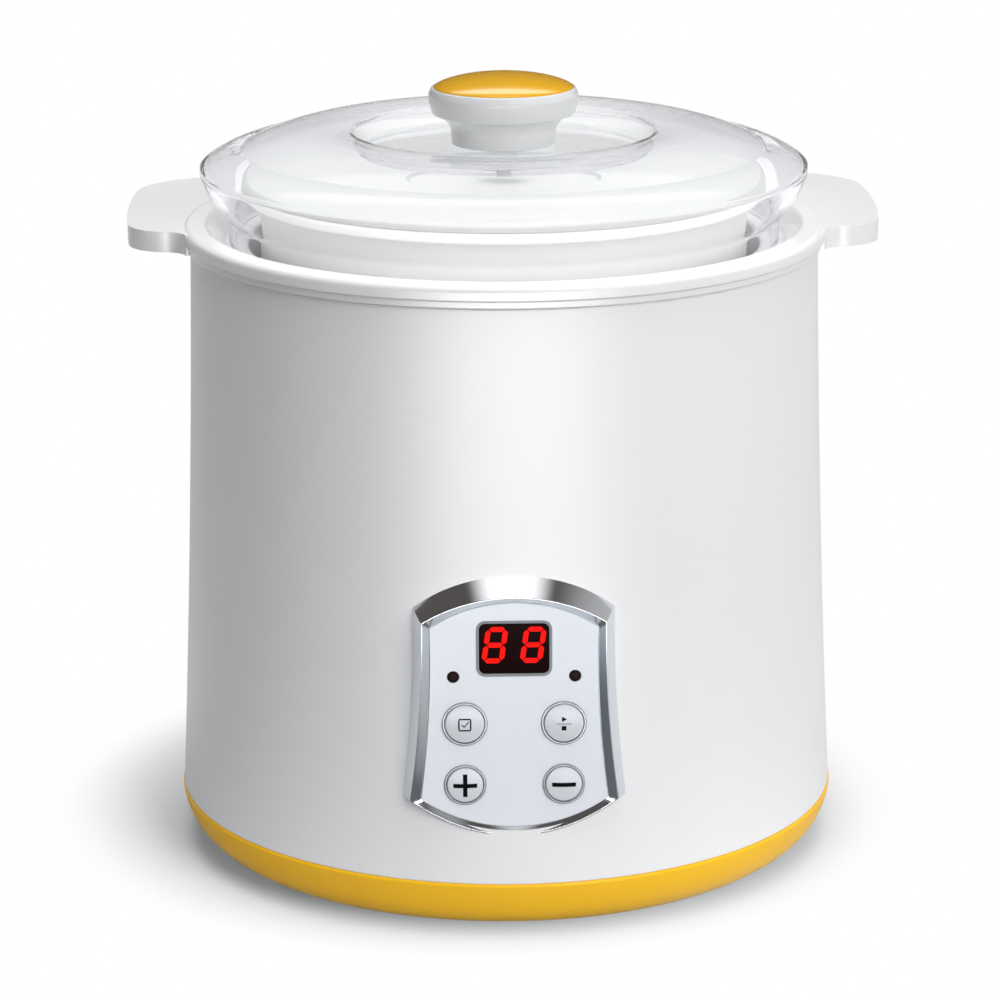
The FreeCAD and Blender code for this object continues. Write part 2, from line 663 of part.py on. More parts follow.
def make_feet_and_case_screws():
    feet, screws = [], []
    for angle in QUARTERS:
        x, y = on_ring(d.foot_ring, angle)
        foot = turned("foot", [
            (0, 0), (d.foot_radius - d.foot_seat, 0), (d.foot_radius, d.foot_seat),
            (d.foot_radius, d.foot_height + d.foot_seat), (0, d.foot_height + d.foot_seat),
        ])
        feet.append(place(foot, (x, y, 0)))
        x, y = on_ring(d.post_ring, angle)
        fixing = screw("case_screw", d.screw_head_radius, d.screw_head, d.screw_radius, d.screw_length)
        head_bottom = d.foot_height + d.base_floor / 2 - d.screw_head
        screws.append(place(fixing, (x, y, head_bottom)))
    keep("rubber_feet", group("rubber_feet", feet))
    keep("base_screws", group("base_screws", screws))


# Rim, ears and well

def round_edges(body, chosen, radius):
    """Round the edges of a body that a test picks by their two ends and their middle."""
    doc.recompute()
    base = body.Tip
    names = []
    for number, edge in enumerate(base.Shape.Edges, start=1):
        middle = edge.valueAt((edge.FirstParameter + edge.LastParameter) / 2)
        rise = abs(edge.Vertexes[0].Z - edge.Vertexes[-1].Z)
        if chosen(middle, rise):
            names.append(f"Edge{number}")
    rounding = body.newObject("PartDesign::Fillet", "Rounding")
    rounding.Base = (base, names)
    bind(rounding, "Radius", radius)


def rim_fillet(edge, side):
    """Hollow rounding between the rim and an ear's straight edge, which lies at y = edge * side.

    Gives its place on the rim, its middle and its place on the edge.
    """
    turn = math.degrees(math.asin((edge + d.ear_fillet).value / (d.rim_radius + d.ear_fillet).value))
    centre_x, centre_y = on_ring(d.rim_radius + d.ear_fillet, turn)
    rim_x, rim_y = on_ring(d.rim_radius, turn)
    via_x, via_y = on_ring(d.ear_fillet, HALF_TURN + (turn + QUARTER_TURN) / 2)
    return (rim_x, rim_y * side), (centre_x + via_x, (centre_y + via_y) * side), (centre_x, edge * side)


def make_ear():
    """Ear tab on the right of the rim: bowed tip, rounded corners and hollow roundings at its root."""
    root = d.rim_radius - d.rim_round * 2
    front_rim, front_via, front_edge = rim_fillet(d.ear_front, -1.0)
    back_rim, back_via, back_edge = rim_fillet(d.ear_back, 1.0)
    inward = root.value / d.rim_radius.value
    front_angle = math.degrees(math.atan2(front_rim[1].value, front_rim[0].value))
    back_angle = math.degrees(math.atan2(back_rim[1].value, back_rim[0].value))
    tip_x, tip_y = d.ear_reach - d.ear_bow, (d.ear_back - d.ear_front) / 2
    ear = slab("ear", "XY_Plane", [
        (front_rim[0] * inward, front_rim[1] * inward, *on_ring(root, (front_angle + back_angle) / 2)),
        front_rim,
        (*front_edge, *front_via),
        (tip_x, -d.ear_front),
        (tip_x, d.ear_back, d.ear_reach, tip_y),
        back_edge,
        (*back_rim, *back_via),
        (back_rim[0] * inward, back_rim[1] * inward),
    ], d.shoulder_height, d.ear_top)
    middle_y = tip_y.value
    at_tip = tip_x.value - NIL
    round_edges(ear, lambda middle, rise: rise > 0 and middle.x > at_tip and middle.y < middle_y,
                d.ear_front_corner)
    round_edges(ear, lambda middle, rise: rise > 0 and middle.x > at_tip and middle.y > middle_y,
                d.ear_back_corner)
    on_rim = d.rim_radius.value - NIL
    round_edges(ear, lambda middle, rise: rise < NIL and math.hypot(middle.x, middle.y) > on_rim, d.ear_round)
    return ear


def make_well_liner():
    skirt_radius = d.shoulder_radius - d.shell_wall - d.fit_gap
    well_outside = d.well_radius + d.liner_wall
    ledge_underside = d.ledge_height - d.ledge_wall
    turned_liner = turned("turned_liner", [
        (d.bead_radius, d.shoulder_height),
        (d.bead_radius, d.rim_bottom),
        (d.rim_radius, d.rim_bottom),
        (d.rim_radius, d.rim_top - d.rim_round),
        (d.rim_radius - d.rim_round, d.rim_top,
         d.rim_radius - d.rim_round * ROUND_VIA, d.rim_top - d.rim_round * ROUND_VIA),
        (d.rim_inner_radius + d.rim_round, d.rim_top),
        (d.rim_inner_radius, d.rim_top - d.rim_round,
         d.rim_inner_radius + d.rim_round * ROUND_VIA, d.rim_top - d.rim_round * ROUND_VIA),
        (d.funnel_radius, d.ledge_height),
        (d.well_radius, d.ledge_height),
        (d.well_radius, d.well_floor + d.well_corner),
        (d.well_radius - d.well_corner, d.well_floor,
         d.well_radius - d.well_corner * ROUND_VIA, d.well_floor + d.well_corner * ROUND_VIA),
        (0, d.well_floor),
        (0, well_underside),
        (d.well_radius - d.well_corner, well_underside),
        (well_outside, d.well_floor + d.well_corner / 2),
        (well_outside, ledge_underside),
        (skirt_radius - d.liner_wall, ledge_underside),
        (skirt_radius - d.liner_wall, d.shoulder_height - d.liner_skirt),
        (skirt_radius, d.shoulder_height - d.liner_skirt),
        (skirt_radius, d.shoulder_height),
    ])
    right_ear = make_ear()
    left_ear = doc.addObject("Part::Mirroring", "left_ear")
    left_ear.Source = right_ear
    left_ear.Normal = FreeCAD.Vector(1, 0, 0)
    solids = [turned_liner, right_ear, left_ear]
    holes = []
    for angle in QUARTERS:
        x, y = on_ring(d.post_ring, angle)
        solids.append(rod("case_post", d.post_radius, well_underside - pan_floor, (x, y, pan_floor)))
        holes.append(rod("case_post_hole", post_hole_radius, d.screw_length, (x, y, pan_floor)))
    for x, y in heater_boss_places():
        solids.append(rod("heater_boss", d.heater_boss_radius, d.heater_thick, (x, y, heater_bottom)))
        holes.append(rod("heater_boss_hole", post_hole_radius, d.clip_screw_length, (x, y, heater_bottom)))
    keep("well_liner", cut("well_liner", fuse("liner_with_ears", solids), holes))


# Heater under the well

def heater_boss_places():
    ring = d.heater_radius + d.heater_boss_gap + d.heater_boss_radius
    return [on_ring(ring, angle) for angle in THIRDS]


def make_heater():
    keep("heater_plate", rod("heater_plate", d.heater_radius, d.heater_thick, (0, 0, heater_bottom)))
    ring = turned("heater_ring", [
        (d.heater_ring_bore, heater_ring_bottom), (d.heater_ring_radius, heater_ring_bottom),
        (d.heater_ring_radius, heater_bottom), (d.heater_ring_bore, heater_bottom),
    ])
    keep("heater_ring", ring)
    clips, screws = [], []
    clip_bottom = heater_bottom - d.clip_thick
    for x, y in heater_boss_places():
        clip = turned("clip", [
            (post_hole_radius, 0), (d.clip_radius, 0), (d.clip_radius, d.clip_thick),
            (post_hole_radius, d.clip_thick),
        ])
        clips.append(place(clip, (x, y, clip_bottom)))
        fixing = screw("clip_screw", d.screw_head_radius, d.screw_head, d.screw_radius, d.clip_screw_length)
        screws.append(place(fixing, (x, y, clip_bottom - d.screw_head)))
    keep("heater_clips", group("heater_clips", clips))
    keep("heater_screws", group("heater_screws", screws))
    fuse_body = rod("thermal_fuse", d.fuse_radius, d.fuse_length, (0, 0, 0))
    place(fuse_body, (-d.fuse_length / 2, 0, heater_bottom - d.fuse_radius), turn=(0, 1, 0), angle=90.0)
    keep("thermal_fuse", fuse_body)
    keep("temperature_sensor", block(
        "temperature_sensor",
        (-d.sensor_long / 2, d.sensor_place - d.sensor_wide / 2, heater_bottom - d.sensor_thick),
        (d.sensor_long, d.sensor_wide, d.sensor_thick)))


# Power board in the base pan

def power_post_places():
    x = d.power_board_long / 2 - d.power_post_inset
    y = d.power_board_wide / 2 - d.power_post_inset
    return [(x, y), (-x, y), (-x, -y), (x, -y)]


def make_power_board():
    board = block("power_board_blank",
                  (-d.power_board_long / 2, -d.power_board_wide / 2, power_board_bottom),
                  (d.power_board_long, d.power_board_wide, d.board_thick))
    holes, screws = [], []
    for x, y in power_post_places():
        holes.append(rod("power_board_hole", post_hole_radius, d.board_thick, (x, y, power_board_bottom)))
        shank = d.power_board_lift + d.board_thick
        fixing = screw("power_board_screw", d.screw_head_radius, d.screw_head, d.screw_radius, shank)
        screws.append(place(fixing, (x, y, power_board_top + d.screw_head), turn=(1, 0, 0), angle=180.0))
    keep("power_board", cut("power_board", board, holes))
    keep("power_board_screws", group("power_board_screws", screws))
    transformer_x = -d.transformer_long - d.part_spacing / 2
    row_y = -d.transformer_wide / 2
    keep("transformer", block("transformer", (transformer_x, row_y, power_board_top),
                              (d.transformer_long, d.transformer_wide, d.transformer_tall)))
    keep("relay", block("relay", (d.part_spacing / 2, -d.relay_wide - d.part_spacing / 2, power_board_top),
                        (d.relay_long, d.relay_wide, d.relay_tall)))
    capacitor_x = d.part_spacing / 2 + d.capacitor_radius
    capacitor_y = d.part_spacing / 2 + d.capacitor_radius
    keep("filter_capacitor", rod("filter_capacitor", d.capacitor_radius, d.capacitor_tall,
                                 (capacitor_x, capacitor_y, power_board_top)))


def make_power_inlet():
    back = d.inlet_face - d.inlet_depth
    body = block("inlet_block", (-d.inlet_half_width, back, inlet_low),
                 (d.inlet_half_width * 2, d.inlet_depth, d.inlet_tall))
    wing_half = d.inlet_half_width + d.inlet_wing
    wing_back = d.inlet_face - d.inlet_wing_set - d.inlet_wing_thick
    wings = block("inlet_wings", (-wing_half, wing_back, inlet_low),
                  (wing_half * 2, d.inlet_wing_thick, d.inlet_tall))
    socket_floor = d.inlet_face - d.socket_depth
    hollow = [block("socket_middle",
                    (-d.socket_spread, socket_floor, inlet_height - d.socket_radius),
                    (d.socket_spread * 2, d.socket_depth, d.socket_radius * 2))]
    pins = []
    for side in (-1.0, 1.0):
        end_x = d.socket_spread * side
        hollow.append(front_rod("socket_end", d.socket_radius, -d.inlet_face, -socket_floor,
                                end_x, inlet_height))
        pins.append(front_rod("pin", d.pin_radius, -(socket_floor + d.pin_length), -socket_floor,
                              d.pin_spread * side, inlet_height))
    keep("power_inlet", cut("power_inlet", fuse("inlet_with_wings", [body, wings]), hollow))
    keep("inlet_pins", group("inlet_pins", pins))


def make_leads():
    """Leads inside the base: inlet to board, board to heater and sensor, and the ribbon to the panel."""
    lead_height = power_board_top + d.lead_lift
    run_in = d.inlet_face - d.inlet_depth + d.lead_bend
    landing = d.power_board_wide / 2 - d.lead_bend
    leads = []
    for side in (-1.0, 1.0):
        x = d.pin_spread * side
        route = [(x, run_in, inlet_low), (x, run_in, lead_height), (x, landing, lead_height),
                 (x, landing, power_board_top)]
        points = [FreeCAD.Vector(*[length.value for length in point]) for point in route]
        lead = doc.addObject("Part::Feature", "inlet_lead")
        bend = min(d.lead_bend.value, d.lead_lift.value * LEAD_BEND_SHARE)
        lead.Shape = bent_tube(points, bend, d.lead_radius.value)
        leads.append(lead)
    keep("inlet_leads", group("inlet_leads", leads))
    heater_x = (d.heater_ring_bore + d.heater_ring_radius) / 2 - d.heater_thick * 2
    keep("heater_leads", group("heater_leads", [
        rod("heater_lead", d.lead_radius, heater_ring_bottom - power_board_top,
            (heater_x * side, 0, power_board_top)) for side in (-1.0, 1.0)]))
    sensor_bottom = heater_bottom - d.sensor_thick
    keep("sensor_leads", group("sensor_leads", [
        rod("sensor_lead", d.lead_radius, sensor_bottom - power_board_top,
            (d.sensor_long / 3 * side, d.sensor_place, power_board_top)) for side in (-1.0, 1.0)]))
    run_top = lead_height + d.ribbon_thick
    ribbon_end = -(d.power_board_wide / 2 - d.lead_bend)
    ribbon = slab("ribbon_cable", "YZ_Plane", [
        (-board_back, d.board_bottom + d.ribbon_overlap),
        (-board_back, lead_height),
        (ribbon_end - d.ribbon_thick, lead_height),
        (ribbon_end - d.ribbon_thick, power_board_top),
        (ribbon_end, power_board_top),
        (ribbon_end, run_top),
        (-board_back + d.ribbon_thick, run_top),
        (-board_back + d.ribbon_thick, d.board_bottom + d.ribbon_overlap),
    ], -d.ribbon_width / 2, d.ribbon_width / 2)
    keep("ribbon_cable", ribbon)


# Control panel

BUTTONS = (
    ("function", -1.0, d.upper_button_height, d.upper_button_radius),
    ("start", 1.0, d.upper_button_height, d.upper_button_radius),
    ("plus", -1.0, d.lower_button_height, d.lower_button_radius),
    ("minus", 1.0, d.lower_button_height, d.lower_button_radius),
)


def board_post_places():
    return [(d.board_post_spread * side, height)
            for side in (-1.0, 1.0) for height in (d.board_post_low, d.board_post_high)]


def make_panel_bezel():
    frame = slab("bezel_frame", "XZ_Plane", bezel_outline(), d.well_radius, d.bezel_crown)
    crown = rod("bezel_crown_round", d.bezel_crown, d.shoulder_height, (0, 0, 0))
    opening = slab("bezel_opening", "XZ_Plane", face_outline(d.face_gap), d.well_radius, d.bezel_crown)
    rabbet = slab("bezel_rabbet", "XZ_Plane", face_outline(d.face_flange + d.face_gap),
                  d.well_radius, face_back)
    crowned = common("bezel_crowned", frame, crown)
    keep("panel_bezel", cut("panel_bezel", crowned, [drum_core("bezel_seat"), opening, rabbet]))


def make_panel_face():
    plate = slab("face_plate", "XZ_Plane", face_outline(), face_back, d.face_front)
    flange_back = face_back - d.face_flange_thick
    blank = slab("face_flange_blank", "XZ_Plane", face_outline(d.face_flange), flange_back, face_back)
    hollow = slab("face_flange_hollow", "XZ_Plane", face_outline(-d.face_flange), flange_back, face_back)
    solids = [plate, cut("face_flange", blank, [hollow])]
    holes = [block("display_hole",
                   (-d.display_width / 2, -d.face_front, d.display_height - d.display_tall / 2),
                   (d.display_width, d.face_thick, d.display_tall))]
    for x, z in board_post_places():
        solids.append(front_rod("board_post", d.board_post_radius, d.board_front, face_back, x, z))
        holes.append(front_rod("board_post_hole", d.board_screw_radius + d.screw_gap,
                               d.board_front, d.board_front + d.board_screw_length, x, z))
    for side in (-1.0, 1.0):
        holes.append(front_rod("led_hole", d.led_radius + d.screw_gap, face_back, d.face_front,
                               d.led_spread * side, d.led_height))
    for _, side, height, radius in BUTTONS:
        holes.append(front_rod("button_hole", radius + d.button_gap, face_back, d.face_front,
                               d.button_spread * side, height))
    keep("panel_face", cut("panel_face", fuse("face_with_posts", solids), holes))


def make_display():
    window_front = d.face_front - d.display_inset
    low = d.display_height - d.display_tall / 2
    half = d.display_width / 2 - d.face_gap
    tall = d.display_tall - d.face_gap * 2
    keep("display_window", block("display_window", (-half, -window_front, low + d.face_gap),
                                 (half * 2, d.window_thick, tall)))
    module_front = window_front - d.window_thick
    keep("display_module", block("display_module", (-half, -module_front, low + d.face_gap),
                                 (half * 2, module_front - d.board_front, tall)))
    lamps = []
    for side in (-1.0, 1.0):
        lamp = turned("led", [
            (0, d.board_front), (d.led_flange_radius, d.board_front),
            (d.led_flange_radius, d.board_front + d.board_thick / 2),
            (d.led_radius, d.board_front + d.board_thick / 2),
            (d.led_radius, d.face_front),
            (0, d.face_front + d.led_proud, DOME),
        ])
        lamps.append(towards_front(lamp, d.led_spread * side, d.led_height))
    keep("indicator_leds", group("indicator_leds", lamps))


def make_buttons():
    """Keys with their rings, and the switches behind them."""
    rings, switches = [], []
    button_back = face_back - d.button_flange_thick
    switch_front = d.board_front + d.switch_tall
    for name, side, height, radius in BUTTONS:
        x = d.button_spread * side
        edge = d.face_front + d.button_proud
        cap = turned(name + "_button", [
            (0, button_back), (radius + d.button_flange, button_back),
            (radius + d.button_flange, face_back), (radius, face_back), (radius, edge),
            (0, edge + d.button_dome, DOME),
        ])
        keep(name + "_button", towards_front(cap, x, height))
        plunger = front_rod(name + "_plunger", d.plunger_radius,
                            button_back - d.plunger_length, button_back, x, height)
        keep(name + "_plunger", plunger)
        bore = radius + d.button_gap
        ring = turned("ring", [
            (bore, d.face_front), (bore + d.ring_wall, d.face_front),
            (bore + d.ring_wall, d.face_front + d.ring_proud / 2),
            (bore, d.face_front + d.ring_proud / 2,
             bore + d.ring_wall / 2, d.face_front + d.ring_proud),
        ])
        rings.append(towards_front(ring, x, height))
        body = block("switch_body",
                     (x - d.switch_side / 2, -switch_front, height - d.switch_side / 2),
                     (d.switch_side, d.switch_tall, d.switch_side))
        well = front_rod("switch_well", d.plunger_radius + d.button_gap,
                         switch_front - d.switch_well, switch_front, x, height)
        switches.append(cut("switch", body, [well]))
    keep("button_rings", group("button_rings", rings))
    keep("tact_switches", group("tact_switches", switches))


def make_control_board():
    blank = block("board_blank", (-d.board_half_width, -d.board_front, d.board_bottom),
                  (d.board_half_width * 2, d.board_thick, d.board_top - d.board_bottom))
    holes, screws = [], []
    head_back = board_back - d.board_screw_head
    for x, z in board_post_places():
        holes.append(front_rod("board_hole", d.board_screw_radius + d.screw_gap,
                               board_back, d.board_front, x, z))
        fixing = screw("board_screw", d.board_screw_head_radius, d.board_screw_head,
                       d.board_screw_radius, d.board_screw_length)
        screws.append(place(fixing, (x, -head_back, z), turn=(1, 0, 0), angle=90.0))
    keep("control_board", cut("control_board", blank, holes))
    keep("board_screws", group("board_screws", screws))


# Tub, lids and knob

def make_tub():
    inside = d.tub_wall
    inner_floor = d.well_floor + d.tub_wall
    foot, corner = d.tub_foot_radius, d.tub_corner
    keep("tub", turned("tub", [
        (0, d.well_floor), (foot - corner, d.well_floor),
        (foot, d.well_floor + corner, foot - corner * ROUND_VIA, d.well_floor + corner * ROUND_VIA),
        (d.tub_radius, d.tub_lip_bottom), (d.tub_lip_radius, d.tub_lip_bottom),
        (d.tub_lip_radius, d.tub_lip_top), (d.tub_radius - inside, d.tub_lip_top),
        (foot - inside, inner_floor + corner),
        (foot - inside - corner, inner_floor,
         foot - inside - corner * ROUND_VIA, inner_floor + corner * ROUND_VIA),
        (0, inner_floor),
    ]))


def make_tub_lid():
    plug = d.tub_radius - d.tub_wall - d.fit_gap * 2
    plug_inner = plug - d.tub_lid_plug_wall
    edge = d.tub_lip_radius - d.fit_gap
    low, top = d.tub_lip_top, d.tub_lip_top + d.tub_lid_thick
    dish = d.tub_lid_dish_radius
    keep("tub_lid", turned("tub_lid", [
        (0, top - d.tub_lid_dish), (dish - d.tub_lid_dish, top - d.tub_lid_dish), (dish, top),
        (edge - d.fit_gap, top), (edge, top - d.fit_gap), (edge, low), (plug, low),
        (plug, low - d.tub_lid_plug), (plug_inner, low - d.tub_lid_plug), (plug_inner, low), (0, low),
    ]))


def slope_angle(run, rise):
    """Angle of a slope, from its driven run and rise."""
    return math.atan2(rise.value, run.value)


def make_clear_lid():
    """Clear cover of even wall, with a bowed and tapered skirt that stands on the liner's ledge."""
    wall = d.lid_wall
    hole = d.knob_screw_radius + d.screw_gap
    taper = slope_angle(d.lid_edge_bottom - d.lid_skirt_height, d.lid_radius - d.lid_skirt_radius)
    skirt_shift = wall * math.tan(taper / 2)
    recess = slope_angle(d.lid_recess_slope, d.lid_recess_depth)
    recess_shift = wall * math.tan(recess / 2)
    crown_radius = (d.lid_recess_radius + d.lid_shoulder_radius) / 2
    crown_height = (d.lid_recess_top + d.lid_shoulder_height) / 2 + d.lid_crown
    keep("clear_lid", turned("clear_lid", [
        (hole, d.lid_recess_floor), (d.lid_recess_floor_radius, d.lid_recess_floor),
        (d.lid_recess_radius, d.lid_recess_top),
        (d.lid_shoulder_radius, d.lid_shoulder_height, crown_radius, crown_height),
        (d.lid_radius, d.lid_edge_top,
         (d.lid_shoulder_radius + d.lid_radius + d.lid_slope_crown) / 2,
         (d.lid_shoulder_height + d.lid_edge_top) / 2 + d.lid_slope_crown),
        (d.lid_radius, d.lid_edge_bottom),
        (d.lid_skirt_radius, d.lid_skirt_height, d.lid_bow_radius, d.lid_bow_height),
        (d.lid_skirt_radius, d.ledge_height),
        (d.lid_skirt_radius - wall, d.ledge_height),
        (d.lid_skirt_radius - wall, d.lid_skirt_height + skirt_shift),
        (d.lid_radius - wall, d.lid_edge_bottom,
         d.lid_bow_radius - wall * math.cos(taper), d.lid_bow_height + wall * math.sin(taper)),
        (d.lid_shoulder_radius, d.lid_shoulder_height - wall),
        (d.lid_recess_radius + recess_shift, d.lid_recess_top - wall, crown_radius, crown_height - wall),
        (d.lid_recess_floor_radius + recess_shift, d.lid_recess_floor - wall),
        (hole, d.lid_recess_floor - wall),
    ]))


def make_knob():
    foot = d.lid_recess_floor
    pocket = d.knob_top - d.knob_cap_depth
    hole = d.knob_screw_radius + d.screw_gap
    hole_top = foot + d.knob_screw_length + d.screw_gap
    keep("lid_knob", turned("lid_knob", [
        (hole, foot), (d.knob_base_radius, foot),
        (d.knob_neck_radius, d.knob_neck_height),
        (d.knob_flange_low_radius, d.knob_flange_bottom,
         (d.knob_neck_radius + d.knob_flange_low_radius) / 2 - d.knob_sweep,
         (d.knob_neck_height + d.knob_flange_bottom) / 2 + d.knob_sweep),
        (d.knob_radius, d.knob_widest,
         (d.knob_flange_low_radius + d.knob_radius) / 2 + d.knob_flange_bulge,
         (d.knob_flange_bottom + d.knob_widest) / 2),
        (d.knob_cap_radius + d.fit_gap * 2, d.knob_top),
        (d.knob_cap_radius, d.knob_top), (d.knob_cap_radius, pocket), (0, pocket),
        (0, hole_top), (hole, hole_top),
    ]))
    cap_edge = d.knob_cap_radius - d.screw_gap
    keep("knob_cap", turned("knob_cap", [
        (0, pocket), (cap_edge, pocket), (cap_edge, d.knob_top),
        (0, d.knob_top + d.knob_cap_rise, DOME),
    ]))
    lid_underside = d.lid_recess_floor - d.lid_wall
    washer_bottom = lid_underside - d.washer_thick
    keep("knob_washer", turned("knob_washer", [
        (hole, washer_bottom), (d.washer_radius, washer_bottom),
        (d.washer_radius, lid_underside), (hole, lid_underside),
    ]))
    shank = d.washer_thick + d.lid_wall + d.knob_screw_length
    fixing = screw("knob_screw", d.knob_screw_head_radius, d.knob_screw_head, d.knob_screw_radius, shank)
    keep("knob_screw", place(fixing, (0, 0, washer_bottom - d.knob_screw_head)))


def check_model():
    """Stop if any object failed to build or any piece is empty or not a sound solid."""
    for thing in doc.Objects:
        if {"Invalid", "Error"} & set(thing.State):
            raise RuntimeError(f"{thing.Label} failed to build: {thing.State}")
    for node, thing in pieces.items():
        shape = thing.Shape
        if shape.isNull() or not shape.isValid() or not shape.Solids:
            raise RuntimeError(f"{node} has no sound solid")
        print(f"{node}: {len(shape.Solids)} solid(s), {shape.Volume / 1000.0:.2f} cm3")


make_outer_shell()
make_base_tray()
make_feet_and_case_screws()
make_well_liner()
make_heater()
make_power_board()
make_power_inlet()
make_leads()
make_panel_bezel()
make_panel_face()
make_display()
make_buttons()
make_control_board()
make_tub()
make_tub_lid()
make_clear_lid()
make_knob()
doc.recompute()
check_model()
os.makedirs("parts", exist_ok=True)
for node, thing in pieces.items():
    thing.Shape.exportStep(f"parts/{node}.step")
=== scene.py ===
"""Looks of a countertop yogurt maker, modelled and finished round its packed construction model.

Everything is in metres, in the frame of that model: +Z up, the control panel looks along -Y.
"""
import json
import math

import bpy
from bpy.props import FloatProperty, FloatVectorProperty, IntProperty, PointerProperty
from mathutils import Euler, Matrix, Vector


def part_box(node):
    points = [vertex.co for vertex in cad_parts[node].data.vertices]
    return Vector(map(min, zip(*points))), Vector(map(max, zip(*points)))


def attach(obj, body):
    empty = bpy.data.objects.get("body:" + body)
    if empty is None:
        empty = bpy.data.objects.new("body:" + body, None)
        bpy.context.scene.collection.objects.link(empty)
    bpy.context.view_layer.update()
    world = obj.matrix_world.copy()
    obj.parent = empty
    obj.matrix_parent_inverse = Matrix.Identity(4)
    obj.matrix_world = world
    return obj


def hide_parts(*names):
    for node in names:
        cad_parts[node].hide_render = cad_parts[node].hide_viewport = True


bl_info = {
    "name": "Yogurt Maker Looks",
    "version": (1, 0, 0),
    "blender": (4, 5, 0),
    "location": "View3D > Sidebar > Yogurt Maker",
    "description": "Models and finishes the pieces of a countertop yogurt maker round its construction model",
    "category": "Object",
}

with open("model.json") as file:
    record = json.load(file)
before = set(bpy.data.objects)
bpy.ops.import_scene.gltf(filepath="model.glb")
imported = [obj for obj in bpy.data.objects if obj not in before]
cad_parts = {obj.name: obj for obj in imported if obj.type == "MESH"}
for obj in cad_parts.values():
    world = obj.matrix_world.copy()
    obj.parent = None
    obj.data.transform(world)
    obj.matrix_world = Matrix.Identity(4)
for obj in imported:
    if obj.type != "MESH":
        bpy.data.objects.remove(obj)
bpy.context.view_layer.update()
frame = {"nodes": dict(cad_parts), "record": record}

MM = 0.001
WELD = 1e-6
SMOOTH_ANGLE = math.radians(40.0)
FACE_WEIGHT = 80
UP = Vector((0.0, 0.0, 1.0))
WHITE = (1.0, 1.0, 1.0)
KEYS = ("function", "start", "plus", "minus")
# clearance of the rim's skirt and of the base pan's lip in the drum
SEAT_GAP = 0.3 * MM
# materials by name, filled by the finishes' operator
FINISHES = {}


# Settings that a user would change

def entries(kind, given, **options):
    """Settings of one kind by name, each given as its description and default."""
    return {name: kind(name=name.replace("_", " ").capitalize(), description=description, default=default,
                       **options) for name, (description, default) in given.items()}


def lengths(**given):
    """Lengths, written in millimetres."""
    metres = {name: (description, size * MM) for name, (description, size) in given.items()}
    return entries(FloatProperty, metres, unit="LENGTH", subtype="DISTANCE", precision=5)


def angles(**given):
    """Angles, written in degrees."""
    turns = {name: (description, math.radians(angle)) for name, (description, angle) in given.items()}
    return entries(FloatProperty, turns, unit="ROTATION", subtype="ANGLE")


def counts(**given):
    return entries(IntProperty, given, min=4)


def shades(**given):
    """Colours, as scene-linear red, green and blue."""
    return entries(FloatVectorProperty, given, size=3, min=0.0, max=1.0, subtype="COLOR")


def outlines(**given):
    """Panel outlines in millimetres: half width and height of the top corners, top, the same two of the
    bottom corners, bottom."""
    metres = {name: (description, [size * MM for size in sizes])
              for name, (description, sizes) in given.items()}
    return entries(FloatVectorProperty, metres, size=6, unit="LENGTH", precision=5)


class HousingSizes(bpy.types.PropertyGroup):
    """Drum, base pan, rim and well."""

    __annotations__ = {
        **lengths(
            waist_height=("Where the drum's flare is set", 90.0),
            waist_radius=("Drum at that height", 86.3),
            shoulder_radius=("Drum at its top edge", 84.1),
            shell_wall=("Thickness of the drum", 2.2),
            shell_round=("Rounding of the drum's edges", 0.5),
            base_bottom_radius=("Flat underside of the base pan", 81.2),
            base_bulge_radius=("Base pan half way up its round side", 87.3),
            base_bulge_height=("Height of that place", 6.8),
            seam_height=("Top edge of the base pan", 15.0),
            seam_round=("Rounding of that edge", 0.9),
            base_floor=("Thickness of the base pan", 2.5),
            base_lip=("Wall of the pan's locating lip", 2.0),
            rim_radius=("Outside of the rim", 86.2),
            rim_bottom=("Underside of the rim", 167.0),
            rim_round=("Rounding of the rim's top", 1.7),
            rim_inner_radius=("Inner edge of the rim", 79.5),
            bead_radius=("Bead under the rim", 85.3),
            funnel_radius=("Foot of the funnel", 75.6),
            ledge_height=("Ledge that carries the clear lid", 166.0),
            ledge_wall=("Thickness of that ledge", 2.2),
            well_radius=("Inside of the well", 68.5),
            well_floor=("Top of the well's floor", 26.0),
            well_corner=("Rounding of the well's corner", 3.0),
            liner_wall=("Wall of the well", 2.0),
            ear_top=("Top of the ears", 170.6),
            ear_front=("Front edge of the ears, ahead of the middle axis", 12.5),
            ear_back=("Back edge of the ears, behind the middle axis", 65.0),
            ear_bow=("Bow of an ear's tip", 3.2),
            ear_front_corner=("Rounding of an ear's front corner", 12.0),
            ear_back_corner=("Rounding of an ear's back corner", 22.0),
            ear_fillet=("Hollow rounding between the rim and an ear", 6.0),
            ear_round=("Rounding of an ear's edges", 2.2),
        ),
        **counts(
            turn_steps=("Faces round a turned piece", 192),
        ),
    }


